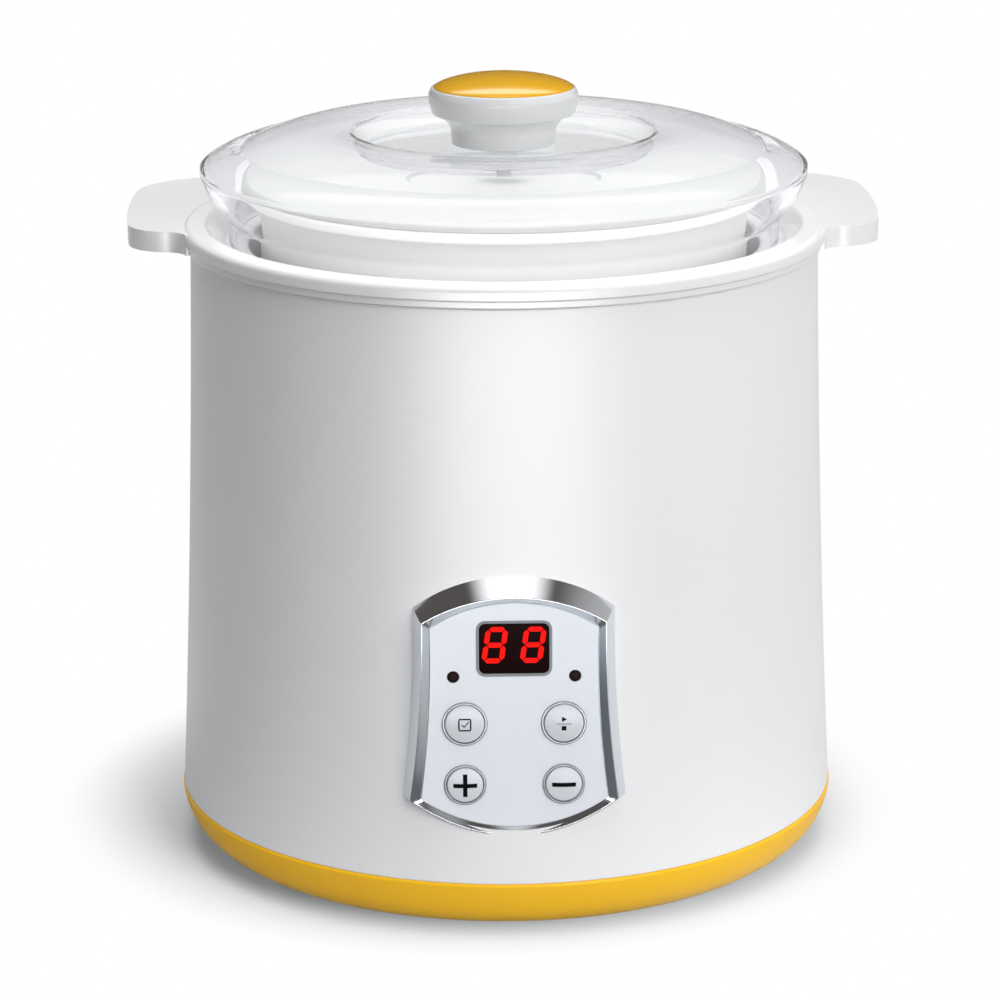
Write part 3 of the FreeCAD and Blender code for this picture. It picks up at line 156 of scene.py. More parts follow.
class TopSizes(bpy.types.PropertyGroup):
    """Tub, its lid, the clear lid and the knob."""

    __annotations__ = lengths(
        tub_radius=("Outside of the tub under its lip", 65.5),
        tub_foot_radius=("Outside of the tub above its corner", 62.0),
        tub_corner=("Rounding of the tub's bottom corner", 4.0),
        tub_wall=("Wall of the tub", 2.0),
        tub_lip=("Height of the tub's lip", 3.0),
        tub_lip_round=("Rounding of the lip", 0.9),
        tub_lid_thick=("Thickness of the tub's flat lid", 2.2),
        plug_wall=("Thickness of the tub lid's plug ring", 1.8),
        plug_gap=("Clearance of the plug in the tub", 0.6),
        dish_radius=("Shallow dish in the tub lid", 26.0),
        dish_depth=("Depth of that dish", 0.8),
        lid_wall=("Wall of the clear lid", 2.0),
        lid_edge_bottom=("Underside of the lid's widest edge", 184.6),
        lid_edge_top=("Top of that edge", 186.4),
        lid_shoulder_radius=("Shoulder line of the lid", 70.0),
        lid_shoulder_height=("Height of the shoulder line", 191.0),
        recess_radius=("Edge of the lid's round recess", 40.7),
        recess_top=("Height of that edge", 195.5),
        recess_floor_radius=("Floor of the recess", 36.8),
        recess_floor=("Top of the recess floor", 191.5),
        bow_radius=("Bowed skirt under the lid's edge, half way down", 79.2),
        bow_height=("Height of that place", 180.0),
        skirt_radius=("Straight foot of the skirt", 73.8),
        skirt_height=("Top of that foot", 173.0),
        lid_crown=("Bulge between the recess and the shoulder", 2.4),
        knob_base_radius=("Foot of the knob", 13.8),
        knob_neck_radius=("Neck of the knob", 14.1),
        knob_neck_height=("Height of the neck", 195.6),
        knob_sweep_radius=("Hollow sweep from the neck, half way up", 15.93),
        knob_sweep_height=("Height of that place", 198.22),
        knob_low_radius=("Underside of the knob's flange", 19.0),
        knob_flange_bottom=("Height of that underside", 199.6),
        knob_bulge_radius=("Side of the flange, half way up", 19.75),
        knob_bulge_height=("Height of that place", 202.25),
        knob_widest=("Height of the knob's widest part", 204.9),
        knob_cap_depth=("Depth of the inlay's pocket", 1.6),
        screw_hole=("Hole for the knob's screw", 2.05),
    )


class PanelSizes(bpy.types.PropertyGroup):
    """Control panel, with front distances from the middle axis."""

    __annotations__ = {
        **lengths(
            crest=("Front of the bezel's ridge", 90.9),
            crest_bend=("Radius of the ridge across the panel", 150.0),
            crest_fall=("Ridge set back at the panel's bottom", 1.9),
            crest_fall_top=("Height from which the ridge falls back", 46.0),
            seat_sink=("Bezel's edge sunk in the drum", 0.4),
            side_hollow=("Hollow of the panel's sides", 0.9),
            digit_tall=("Height of a digit", 9.6),
            digit_wide=("Width of a digit before its slant", 5.7),
            digit_spread=("Window's middle to a digit's middle", 4.85),
            digit_lift=("Digits above the window's middle", 0.9),
            segment_wide=("Width of a lit segment", 1.3),
            segment_gap=("Gap between two segments", 0.18),
            window_round=("Rounding of the window's corners", 1.6),
            border_wide=("Grey border round the window", 0.75),
            border_proud=("Border above the face", 0.12),
            sign_thick=("Printed signs above a key", 0.03),
            sign_long=("Plus and minus signs", 6.1),
            sign_wide=("Width of their bars", 1.12),
        ),
        **outlines(
            outer=("Bezel's outer edge", (25.9, 87.6, 97.1, 28.9, 37.6, 27.6)),
            ridge=("Bezel's ridge", (23.4, 85.2, 92.2, 26.6, 37.4, 28.4)),
            inner=("Edge of the face inside the bezel", (21.3, 83.4, 90.0, 23.8, 37.9, 30.3)),
        ),
        **angles(
            digit_slant=("Lean of the digits", 8.0),
        ),
        **counts(
            arch_steps=("Points along each side of the panel", 40),
        ),
    }


class Colours(bpy.types.PropertyGroup):
    """Finishes, as scene-linear colours."""

    __annotations__ = shades(
        white=("Drum and rim", (0.86, 0.86, 0.87)),
        # painted shade: the knob is the rim's white, greyed to stand in for the shade on it
        knob=("Knob", (0.64, 0.645, 0.655)),
        tub=("Tub", (0.94, 0.945, 0.915)),
        # painted shade: the tub's lid is the tub's white, greyed so that it stays below white under the top
        # light
        cover=("Tub's lid", (0.57, 0.58, 0.565)),
        yellow=("Base pan", (1.0, 0.54, 0.005)),
        inlay=("Knob's inlay", (0.66, 0.345, 0.002)),
        clear=("Clear lid, seen square on", (0.95, 0.952, 0.955)),
        clear_edge=("Clear lid, seen along its surface", (0.71, 0.715, 0.745)),
        chrome=("Bezel", (0.80, 0.82, 0.85)),
        ring=("Button rings", (0.46, 0.48, 0.51)),
        face=("Panel's face", (0.85, 0.885, 0.94)),
        key=("Keys", (0.74, 0.78, 0.82)),
        window=("Display window", (0.013, 0.004, 0.004)),
        lit=("Lit segments", (1.0, 0.010, 0.008)),
        ink=("Printed signs", (0.004, 0.004, 0.006)),
        border=("Border of the display window", (0.30, 0.32, 0.34)),
        lamp=("Indicator lamps", (0.016, 0.008, 0.007)),
        rubber=("Feet", (0.02, 0.02, 0.02)),
        board=("Circuit boards", (0.012, 0.10, 0.035)),
    )


class StageSettings(bpy.types.PropertyGroup):
    """Camera and studio light."""

    __annotations__ = {
        **lengths(
            camera_distance=("Camera to the middle axis, along the floor", 971.04),
            camera_height=("Camera above the floor", 365.42),
            shadow_left=("Shadow's middle, to the left of the object's", 7.0),
            shadow_back=("Shadow's middle, behind the object's", 18.0),
            shadow_start=("Where the floor's shadow starts to fade, from that middle", 88.0),
            shadow_end=("Where the floor is white", 124.0),
        ),
        **angles(
            camera_swing=("Camera's place round the object, from straight in front", -1.373),
            camera_heading=("Turn of the view from straight along +Y", -1.290),
            camera_pitch=("Tilt of the view below level", 15.706),
            camera_roll=("Roll of the camera", -0.264),
            sheen_edge=("Half width of the far floor's bright part, for reflections", 48.0),
        ),
        **entries(FloatProperty, dict(
            sensor=("Width of the sensor", 36.0),
            lens=("Focal length", 132.373),
        ), unit="CAMERA"),
        **entries(FloatProperty, dict(
            key_power=("Large soft light from the front right", 14.3),
            side_power=("Soft light from the right", 3.0),
            top_power=("Soft light from above", 18.5),
        ), min=0.0, unit="POWER"),
        **entries(FloatProperty, dict(
            ambient=("Light from the room", 0.34),
            floor_glow=("Whitening of the floor for the eye", 0.07),
            sheen_glow=("Brightness of the far floor's bright part, for reflections", 10.5),
        ), min=0.0),
    }


class YogurtMaker(bpy.types.PropertyGroup):
    """All settings of the scene."""

    housing: PointerProperty(type=HousingSizes)
    top: PointerProperty(type=TopSizes)
    panel: PointerProperty(type=PanelSizes)
    colours: PointerProperty(type=Colours)
    stage: PointerProperty(type=StageSettings)


def settings():
    return bpy.context.scene.yogurt_maker


# Outlines

def arc(start, via, finish, steps):
    """Points of the circular arc through three places, both ends included."""
    (x1, y1), (x2, y2), (x3, y3) = start, via, finish
    scale = 2 * (x1 * (y2 - y3) + x2 * (y3 - y1) + x3 * (y1 - y2))
    s1, s2, s3 = x1 * x1 + y1 * y1, x2 * x2 + y2 * y2, x3 * x3 + y3 * y3
    cx = (s1 * (y2 - y3) + s2 * (y3 - y1) + s3 * (y1 - y2)) / scale
    cy = (s1 * (x3 - x2) + s2 * (x1 - x3) + s3 * (x2 - x1)) / scale
    radius = math.hypot(x1 - cx, y1 - cy)
    first, middle, last = (math.atan2(y - cy, x - cx) for x, y in (start, via, finish))
    sweep = (last - first) % math.tau
    if (middle - first) % math.tau > sweep:
        sweep -= math.tau
    turns = [first + sweep * step / steps for step in range(steps + 1)]
    return [(cx + radius * math.cos(turn), cy + radius * math.sin(turn)) for turn in turns]


def rounded(corners, steps=6):
    """Points of an outline whose corners are (x, y) or (x, y, rounding). Ends stay as they are."""
    points = []
    for number, corner in enumerate(corners):
        here = Vector(corner[:2])
        radius = corner[2] if len(corner) == 3 else 0.0
        if radius == 0.0 or number in (0, len(corners) - 1):
            points.append(tuple(here))
            continue
        back = (Vector(corners[number - 1][:2]) - here).normalized()
        ahead = (Vector(corners[number + 1][:2]) - here).normalized()
        half = back.angle(ahead) / 2
        reach = radius / math.tan(half)
        middle = here + (back + ahead).normalized() * (radius / math.sin(half) - radius)
        points += arc(here + back * reach, middle, here + ahead * reach, steps)
    return points


# Modelling, as by hand

def begin(name):
    """Open a new mesh at the origin in edit mode, with one chosen vertex."""
    if bpy.context.mode != "OBJECT":
        bpy.ops.object.mode_set(mode="OBJECT")
    bpy.ops.object.select_all(action="DESELECT")
    bpy.ops.mesh.primitive_plane_add(size=MM)
    piece = bpy.context.object
    piece.name = piece.data.name = name
    bpy.ops.object.mode_set(mode="EDIT")
    bpy.ops.mesh.select_all(action="SELECT")
    bpy.ops.mesh.merge(type="CENTER")
    return piece


def another_vertex():
    """Add one more chosen vertex at the origin of the mesh that is open."""
    bpy.ops.mesh.select_all(action="DESELECT")
    bpy.ops.mesh.primitive_plane_add(size=MM)
    bpy.ops.mesh.merge(type="CENTER")


def weld():
    """Choose the whole open mesh and merge what lies in one place."""
    bpy.ops.mesh.select_all(action="SELECT")
    bpy.ops.mesh.remove_doubles(threshold=WELD)


def trace(points, close=False):
    """Extrude the chosen vertex along points, and back to the first if the line closes."""
    route = [Vector(point) for point in points]
    if close:
        route.append(route[0])
    bpy.ops.transform.translate(value=route[0])
    for here, there in zip(route, route[1:]):
        bpy.ops.mesh.extrude_vertices_move(TRANSFORM_OT_translate={"value": there - here})
    if close:
        weld()


def tidy_normals():
    weld()
    bpy.ops.mesh.normals_make_consistent(inside=False)


def leave():
    bpy.ops.object.mode_set(mode="OBJECT")
    return bpy.context.object


def lathe(name, outline, steps=None, close=False):
    """Spin an outline of (radius, height) points about the Z axis."""
    begin(name)
    trace([(radius, 0.0, height) for radius, height in outline], close)
    weld()
    bpy.ops.mesh.spin(steps=steps or settings().housing.turn_steps, angle=math.tau, center=(0, 0, 0), axis=UP)
    tidy_normals()
    return leave()


def prism(name, outline, low, high):
    """Flat plate between two heights from a closed outline of (x, y) points."""
    begin(name)
    trace([(x, y, low) for x, y in outline], close=True)
    bpy.ops.mesh.select_all(action="SELECT")
    bpy.ops.mesh.edge_face_add()
    bpy.ops.mesh.extrude_region_move(TRANSFORM_OT_translate={"value": (0.0, 0.0, high - low)})
    tidy_normals()
    return leave()


def only(piece):
    """Choose one object and nothing else."""
    bpy.ops.object.select_all(action="DESELECT")
    piece.select_set(True)
    bpy.context.view_layer.objects.active = piece


def settle(piece, place, turn=(0.0, 0.0, 0.0)):
    """Turn a piece, move it to its place and keep both in its mesh."""
    only(piece)
    piece.rotation_euler = Euler(turn)
    piece.location = place
    bpy.ops.object.transform_apply(location=True, rotation=True, scale=True)
    return piece


def turn_to_front(piece, x=0.0, z=0.0):
    """Turn a piece made about Z so that it looks along -Y, and move it to its place on the panel."""
    return settle(piece, (x, 0.0, z), (math.radians(90.0), 0.0, 0.0))


def apply_modifier(piece, kind, **values):
    """Add a modifier, set it and apply it."""
    only(piece)
    modifier = piece.modifiers.new(kind.title(), kind)
    for key, value in values.items():
        setattr(modifier, key, value)
    bpy.ops.object.modifier_apply(modifier=modifier.name)
    return piece


def bevel(piece, width, segments, **values):
    return apply_modifier(piece, "BEVEL", width=width, segments=segments, limit_method="ANGLE", **values)


def carve(piece, tool, operation="DIFFERENCE"):
    """Cut one piece by another, or join them, and remove the tool."""
    apply_modifier(piece, "BOOLEAN", object=tool, operation=operation, solver="EXACT")
    bpy.data.objects.remove(tool)
    return piece


def join(pieces, name):
    """Join several meshes into one piece."""
    only(pieces[0])
    for piece in pieces:
        piece.select_set(True)
    bpy.ops.object.join()
    pieces[0].name = pieces[0].data.name = name
    return pieces[0]


def dress(piece, body, slot, *nodes, finish=None, smooth=True):
    """Finish a piece: shading, material, the body it rides on and the nodes it stands for."""
    only(piece)
    if smooth:
        bpy.ops.object.shade_smooth_by_angle(angle=SMOOTH_ANGLE)
        apply_modifier(piece, "WEIGHTED_NORMAL", keep_sharp=True, weight=FACE_WEIGHT)
    piece.data.materials.clear()
    piece.data.materials.append(FINISHES[finish or slot])
    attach(piece, body)
    if nodes:
        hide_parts(*nodes)
    return piece


# Materials

# share of the room's white that soft light under the clear lid gets
UNDER_LID = 0.95
# what the clear lid lets through of the lamps' light
LID_CLEARNESS = (0.99, 0.99, 0.99)
# the curve from the record's colours to scene-linear ones
GAMMA = 2.2


class Wire:
    """A node's output, so that shader maths reads as arithmetic."""

    def __init__(self, graph, socket):
        self.graph = graph
        self.socket = socket

    def sibling(self, output):
        """Another output of the same node."""
        return Wire(self.graph, self.socket.node.outputs[output])

    def __add__(self, other):
        return self.graph.maths("ADD", self, other)

    def __radd__(self, other):
        return self.graph.maths("ADD", other, self)

    def __sub__(self, other):
        return self.graph.maths("SUBTRACT", self, other)

    def __rsub__(self, other):
        return self.graph.maths("SUBTRACT", other, self)

    def __mul__(self, other):
        return self.graph.maths("MULTIPLY", self, other)

    def __rmul__(self, other):
        return self.graph.maths("MULTIPLY", other, self)


class Graph:
    """A node tree that is built one call at a time."""

    def __init__(self, owner):
        owner.use_nodes = True
        self.owner = owner
        self.tree = owner.node_tree
        self.tree.nodes.clear()

    def node(self, kind, choices=None, sockets=None, output=0):
        """Add a node of a kind, with its settings first and then its sockets' values or links."""
        made = self.tree.nodes.new("ShaderNode" + kind)
        for key, choice in (choices or {}).items():
            setattr(made, key, choice)
        for key, value in (sockets or {}).items():
            if isinstance(value, Wire):
                self.tree.links.new(value.socket, made.inputs[key])
            else:
                made.inputs[key].default_value = value
        return Wire(self, made.outputs[output]) if made.outputs else None

    def show(self, surface, kind="OutputMaterial"):
        self.node(kind, sockets={"Surface": surface})
        return self.owner

    def maths(self, operation, first, second=0.0):
        return self.node("Math", {"operation": operation}, {0: first, 1: second})

    def vectors(self, operation, sockets, output=0):
        return self.node("VectorMath", {"operation": operation}, sockets, output)

    def place(self):
        return self.node("TexCoord", output="Object")

    def noise(self, scale, detail):
        """Noise with a scale in cells per metre."""
        return self.node("TexNoise", sockets={"Vector": self.place(), "Scale": scale, "Detail": detail})

    def mixed(self, first, second, factor):
        """Colour between two colours."""
        return self.node("Mix", {"data_type": "RGBA"}, {"Factor": factor, "A": first, "B": second}, output=2)

    def ramp(self, value, start, finish):
        """Smooth step from 0 to 1 between two values."""
        return self.node("MapRange", {"interpolation_type": "SMOOTHSTEP"},
                         {"Value": value, "From Min": start, "From Max": finish})

    def rays(self):
        """Whether a ray is seen by the eye, also through the clear lid, and whether it is a reflection."""
        camera = self.node("LightPath", output="Is Camera Ray")
        passing, depth = camera.sibling("Is Transmission Ray"), camera.sibling("Transmission Depth")
        through = self.maths("MINIMUM", self.maths("MAXIMUM", passing, depth), 1.0)
        straight = self.maths("MAXIMUM", 1.0 - camera.sibling("Diffuse Depth"), UNDER_LID)
        glossy = camera.sibling("Is Glossy Ray") * (1.0 - through)
        return self.maths("MAXIMUM", camera, through * straight), glossy

    def blend(self, factor, first, second):
        """Surface between two surfaces."""
        return self.node("MixShader", sockets={0: factor, 1: first, 2: second})

    def emitter(self, strength, shade=WHITE):
        return self.node("Emission", sockets={"Color": opaque(shade), "Strength": strength})

    def matt(self, shade):
        return self.node("BsdfDiffuse", sockets={"Color": opaque(shade)})

    def background(self, shade, strength=1.0):
        return self.node("Background", sockets={"Color": opaque(shade), "Strength": strength})

    def bump(self, height, distance):
        return self.node("Bump", sockets={"Height": height, "Distance": distance, "Strength": 1.0})


def material_graph(name):
    return Graph(bpy.data.materials.new(name))


def opaque(shade):
    return (*shade, 1.0)


def tinted(shade, factor):
    """A colour made lighter or darker."""
    return opaque(min(1.0, channel * factor) for channel in shade)


def moulded_plastic(name, shade, roughness, grain=900.0, grain_depth=0.004, coat=0.0, mottle=0.02, ior=1.5):
    """Injection-moulded plastic: faint mottling, fine grain and slightly uneven gloss."""
    graph = material_graph(name)
    cloud = graph.noise(18.0, detail=3.0)
    fine = graph.noise(grain, detail=1.0)
    spread = 0.08
    surface = graph.node("BsdfPrincipled", sockets={
        "Base Color": graph.mixed(tinted(shade, 1.0 - mottle), tinted(shade, 1.0 + mottle), cloud),
        "Roughness": roughness - spread / 2 + cloud * spread, "IOR": ior,
        "Coat Weight": coat, "Coat Roughness": 0.08, "Normal": graph.bump(fine, grain_depth * MM)})
    return graph.show(surface)


def metal(name, shade, roughness, brush=None):
    """Plated or plain metal, with fine brushing along X if a scale for it is given."""
    graph = material_graph(name)
    if brush:
        stretch = (brush / 40.0, brush, brush)
        along = graph.node("Mapping", {"vector_type": "POINT"}, {"Vector": graph.place(), "Scale": stretch})
        lines = graph.node("TexNoise", sockets={"Vector": along, "Scale": 1.0, "Detail": 2.0})
        spread = 0.10
    else:
        lines = graph.noise(120.0, detail=2.0)
        spread = 0.04
    surface = graph.node("BsdfPrincipled", sockets={
        "Base Color": opaque(shade), "Metallic": 1.0, "Roughness": roughness - spread / 2 + lines * spread,
        "Normal": graph.bump(lines, 0.0015 * MM)})
    return graph.show(surface)


def clear_plastic(name, square_on, grazed):
    """Clear moulded plastic, faintly milky. The lamps' light passes straight through to what is under it."""
    graph = material_graph(name)
    ripple = graph.noise(14.0, detail=1.0)
    grazing = graph.node("LayerWeight", sockets={"Blend": 0.4}, output="Facing")
    body = graph.node("BsdfPrincipled", sockets={
        "Base Color": graph.mixed(opaque(square_on), opaque(grazed), grazing), "Roughness": 0.02, "IOR": 1.08,
        "Transmission Weight": 0.94, "Coat Weight": 0.12, "Coat Roughness": 0.03,
        "Normal": graph.bump(ripple, 0.05 * MM)})
    passing = graph.node("BsdfTransparent", sockets={"Color": opaque(LID_CLEARNESS)})
    path = graph.node("LightPath", output="Is Shadow Ray")
    return graph.show(graph.blend(path, body, passing))


def glowing(name, shade):
    """Lit segment behind its red filter, a little uneven along its length."""
    graph = material_graph(name)
    uneven = graph.mixed(tinted(shade, 0.86), opaque(shade), graph.noise(700.0, detail=1.0))
    surface = graph.node("BsdfPrincipled", sockets={
        "Base Color": tinted(shade, 0.4), "Roughness": 0.35, "IOR": 1.06, "Emission Color": uneven,
        "Emission Strength": 1.0})
    return graph.show(surface)


def circuit_board(name, shade):
    """Solder mask with paler copper runs under it."""
    graph = material_graph(name)
    runs = graph.node("TexVoronoi", {"distance": "MANHATTAN", "feature": "F1"},
                      {"Vector": graph.place(), "Scale": 260.0})
    mask = graph.maths("GREATER_THAN", runs, 0.55)
    base = graph.mixed(opaque(shade), tinted(shade, 2.2), mask)
    surface = graph.node("BsdfPrincipled", sockets={"Base Color": base, "Roughness": 0.4 - mask * 0.1})
    return graph.show(surface)


def make_materials():
    """All finishes, by the record's slot names and a few of the scene's own."""
    colours = settings().colours
    slots = {entry["slot"]: entry["base_color"][:3] for entry in frame["record"]["materials"]}
    plastics = {
        "white_shell": (colours.white, 0.34, {}),
        "white_rim": (colours.white, 0.24, {"coat": 0.15}),
        # painted shade: the knob's finish is the rim's white, greyed
        "knob_white": (colours.knob, 0.24, {"coat": 0.15}),
        "yellow_base": (colours.yellow, 0.34, {"mottle": 0.03}),
        "yellow_inlay": (colours.inlay, 0.20, {"grain_depth": 0.001, "coat": 0.3}),
        "tub_white": (colours.tub, 0.36, {}),
        # painted shade: the tub lid's finish is the tub's white, greyed against the top light
        "cover_white": (colours.cover, 0.36, {}),
        "panel_silver": (colours.face, 0.32, {"grain": 2600.0, "grain_depth": 0.002}),
        "key_white": (colours.key, 0.28, {"grain": 2600.0, "grain_depth": 0.001, "ior": 1.4}),
        "smoke_window": (colours.window, 0.12, {"grain_depth": 0.0005, "mottle": 0.10, "ior": 1.06}),
        "border_grey": (colours.border, 0.4, {"ior": 1.2}),
        "led_dark": (colours.lamp, 0.4, {"grain_depth": 0.0005, "ior": 1.15}),
        "sign_ink": (colours.ink, 0.7, {"ior": 1.15}),
        "foot_rubber": (colours.rubber, 0.8, {"grain": 600.0, "grain_depth": 0.05}),
    }
    metals = {
        "bezel_chrome": (colours.chrome, 0.10),
        "ring_chrome": (colours.ring, 0.34),
        "pin_brass": (slots["pin_brass"], 0.2),
        "screw_steel": (slots["screw_steel"], 0.3, 900.0),
        "heater_aluminium": (slots["heater_aluminium"], 0.35, 700.0),
    }
    made = {name: moulded_plastic(name, shade, roughness, **extra)
            for name, (shade, roughness, extra) in plastics.items()}
    made.update({name: metal(name, *values) for name, values in metals.items()})
    made["clear_plastic"] = clear_plastic("clear_plastic", colours.clear, colours.clear_edge)
    made["lit_segment"] = glowing("lit_segment", colours.lit)
    made["board_green"] = circuit_board("board_green", colours.board)
    for slot, shade in slots.items():
        if slot not in made:
            made[slot] = moulded_plastic(slot, [channel ** GAMMA for channel in shade], 0.45)
    return made


# Turned pieces of the housing

def drum_radius(height):
    """Radius of the drum's skin at a height."""
    housing = settings().housing
    low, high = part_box("outer_shell")
    waist, shoulder = (housing.waist_height, housing.waist_radius), (high.z, housing.shoulder_radius)
    places = ((low.z, high.x), waist, shoulder)
    total = 0.0
    for z, radius in places:
        factor = radius
        for other, _ in places:
            if other != z:
                factor *= (height - other) / (z - other)
        total += factor
    return total


class YOGURT_OT_drum(bpy.types.Operator):
    """Model the white drum, with windows for the panel and the inlet"""

    bl_idname = "yogurt_maker.drum"
    bl_label = "Drum"

    def execute(self, context):
        housing = settings().housing
        low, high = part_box("outer_shell")
        rings = 34
        heights = [low.z + (high.z - low.z) * ring / rings for ring in range(rings + 1)]
        skin = [(drum_radius(z), z) for z in heights]
        inside = [(radius - housing.shell_wall, z) for radius, z in reversed(skin)]
        edge = housing.shell_round
        start = (skin[0][0] - housing.shell_wall / 2, low.z)
        corners = [start, (*skin[0], edge), *skin[1:-1], (*skin[-1], edge), *inside]
        drum = lathe("drum_shell", rounded(corners), close=True)
        carve(drum, panel_window())
        inlet_low, inlet_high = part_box("power_inlet")
        inlet_half = 10.0 * MM
        outline = rectangle((-inlet_half, inlet_half), (inlet_low.z, inlet_high.z))
        carve(drum, turn_to_front(prism("inlet_window", outline, -inlet_high.y, -inlet_low.y)))
        dress(drum, "housing", "white_shell", "outer_shell")
        return {"FINISHED"}


class YOGURT_OT_base(bpy.types.Operator):
    """Model the yellow base pan"""

    bl_idname = "yogurt_maker.base"
    bl_label = "Base pan"

    def execute(self, context):
        housing = settings().housing
        low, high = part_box("base_tray")
        thick = housing.base_floor
        bottom, floor, seam = low.z, low.z + thick, housing.seam_height
        bottom_round, seam_round, lip_round = 1.2 * MM, housing.seam_round * 0.9, 0.4 * MM
        lip = drum_radius(seam) - housing.shell_wall - SEAT_GAP
        lip_inside = lip - housing.base_lip
        radius = housing.base_bottom_radius
        bulge, level = housing.base_bulge_radius, housing.base_bulge_height
        side = arc((radius, bottom), (bulge, level), (high.x, seam - housing.seam_round), 20)
        inside = arc((lip_inside, seam), (bulge - thick, level + thick / 2), (radius - thick, floor), 12)
        pan = lathe("base_pan", rounded([
            (0.0, bottom), (*side[0], bottom_round), *side[2:], (high.x, seam, seam_round), (lip, seam),
            (lip, high.z, lip_round), (lip_inside, high.z, lip_round), *inside, (0.0, floor)]))
        pan.visible_diffuse = False
        dress(pan, "housing", "yellow_base", "base_tray")
        return {"FINISHED"}


def ear_outline(side):
    """Plan of one ear tab: bowed tip with round corners, and hollow roundings where it leaves the rim."""
    housing = settings().housing
    rim, front, back = housing.rim_radius, -housing.ear_front, housing.ear_back
    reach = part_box("well_liner")[1].x
    half, middle = (back - front) / 2, (back + front) / 2
    bend = (half ** 2 + housing.ear_bow ** 2) / (2 * housing.ear_bow)
    bend_centre = Vector((reach - bend, middle))

    def rounding(centre, start, finish, radius):
        via = centre + ((start - centre) + (finish - centre)).normalized() * radius
        return arc(start, via, finish, 10)

    def hollow(edge):
        fillet = housing.ear_fillet
        level = edge + math.copysign(fillet, edge)
        centre = Vector((math.sqrt((rim + fillet) ** 2 - level ** 2), level))
        return rounding(centre, centre * (rim / (rim + fillet)), Vector((centre.x, edge)), fillet)

    def corner(edge, radius):
        level = edge - math.copysign(radius, edge)
        centre = Vector((bend_centre.x + math.sqrt((bend - radius) ** 2 - (level - middle) ** 2), level))
        on_tip = bend_centre + (centre - bend_centre).normalized() * bend
        return rounding(centre, Vector((centre.x, edge)), on_tip, radius)

    front_corner, back_corner = corner(front, housing.ear_front_corner), corner(back, housing.ear_back_corner)
    front_hollow, back_hollow = hollow(front), hollow(back)
    tip = arc(front_corner[-1], (reach, middle), back_corner[-1], 24)
    inward = 1.0 - 2 * housing.rim_round / rim
    root = [Vector(back_hollow[0]) * inward, Vector(front_hollow[0]) * inward]
    root_arc = arc(root[0], (root[0] + root[1]).normalized() * rim * inward, root[1], 16)
    points = front_hollow + front_corner + tip + back_corner[::-1] + back_hollow[::-1] + root_arc
    return [(x * side, y) for x, y in points]


class YOGURT_OT_liner(bpy.types.Operator):
    """Model the rim with its ears, the funnel and the well, in one moulding"""

    bl_idname = "yogurt_maker.liner"
    bl_label = "Rim and well"

    def execute(self, context):
        housing = settings().housing
        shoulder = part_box("outer_shell")[1].z
        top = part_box("well_liner")[1].z
        skirt = housing.shoulder_radius - housing.shell_wall - SEAT_GAP
        skirt_inside = skirt - housing.liner_wall
        skirt_low = shoulder - 4.0 * MM
        underside = housing.ledge_height - housing.ledge_wall
        well_under = housing.well_floor - 2.5 * MM
        outside = housing.well_radius + housing.liner_wall
        fillet = 0.5 * MM
        above = rounded([
            (skirt, shoulder), (housing.bead_radius, shoulder, fillet),
            (housing.bead_radius, housing.rim_bottom, fillet / 3),
            (housing.rim_radius, housing.rim_bottom, fillet),
            (housing.rim_radius, top, housing.rim_round),
            (housing.rim_inner_radius, top, housing.rim_round),
            (housing.funnel_radius, housing.ledge_height, 3 * fillet),
            (housing.well_radius, housing.ledge_height, 2 * fillet),
            (housing.well_radius, housing.well_floor, housing.well_corner),
            (0.0, housing.well_floor)])
        below = rounded([
            (0.0, well_under), (outside, well_under, housing.well_corner + housing.liner_wall),
            (outside, underside, 2 * fillet), (skirt_inside, underside),
            (skirt_inside, skirt_low), (skirt, skirt_low), (skirt, shoulder)])
        liner = lathe("rim_and_well", above + below)
        # the ears' undersides don't lie in the plane of the bead's, so that the union is clean
        ear_lift = 0.05 * MM
        for side in (-1.0, 1.0):
            ear = prism("ear", ear_outline(side), shoulder + ear_lift, housing.ear_top)
            carve(liner, bevel(ear, housing.ear_round, 6), "UNION")
        dress(liner, "housing", "white_rim", "well_liner")
        return {"FINISHED"}


class YOGURT_OT_feet(bpy.types.Operator):
    """Model the four rubber feet"""

    bl_idname = "yogurt_maker.feet"
    bl_label = "Feet"

    def execute(self, context):
        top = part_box("rubber_feet")[1]
        radius, edge = 6.0 * MM, 0.7 * MM
        ring = top.x - radius
        outline = rounded([(0.0, 0.0), (radius, 0.0, edge), (radius, top.z), (0.0, top.z)])
        places = [(x, y, 0.0) for x in (-ring, ring) for y in (-ring, ring)]
        feet = [settle(lathe("foot", outline, steps=40), place) for place in places]
        dress(join(feet, "feet"), "housing", "foot_rubber", "rubber_feet")
        return {"FINISHED"}


# Tub, lids and knob

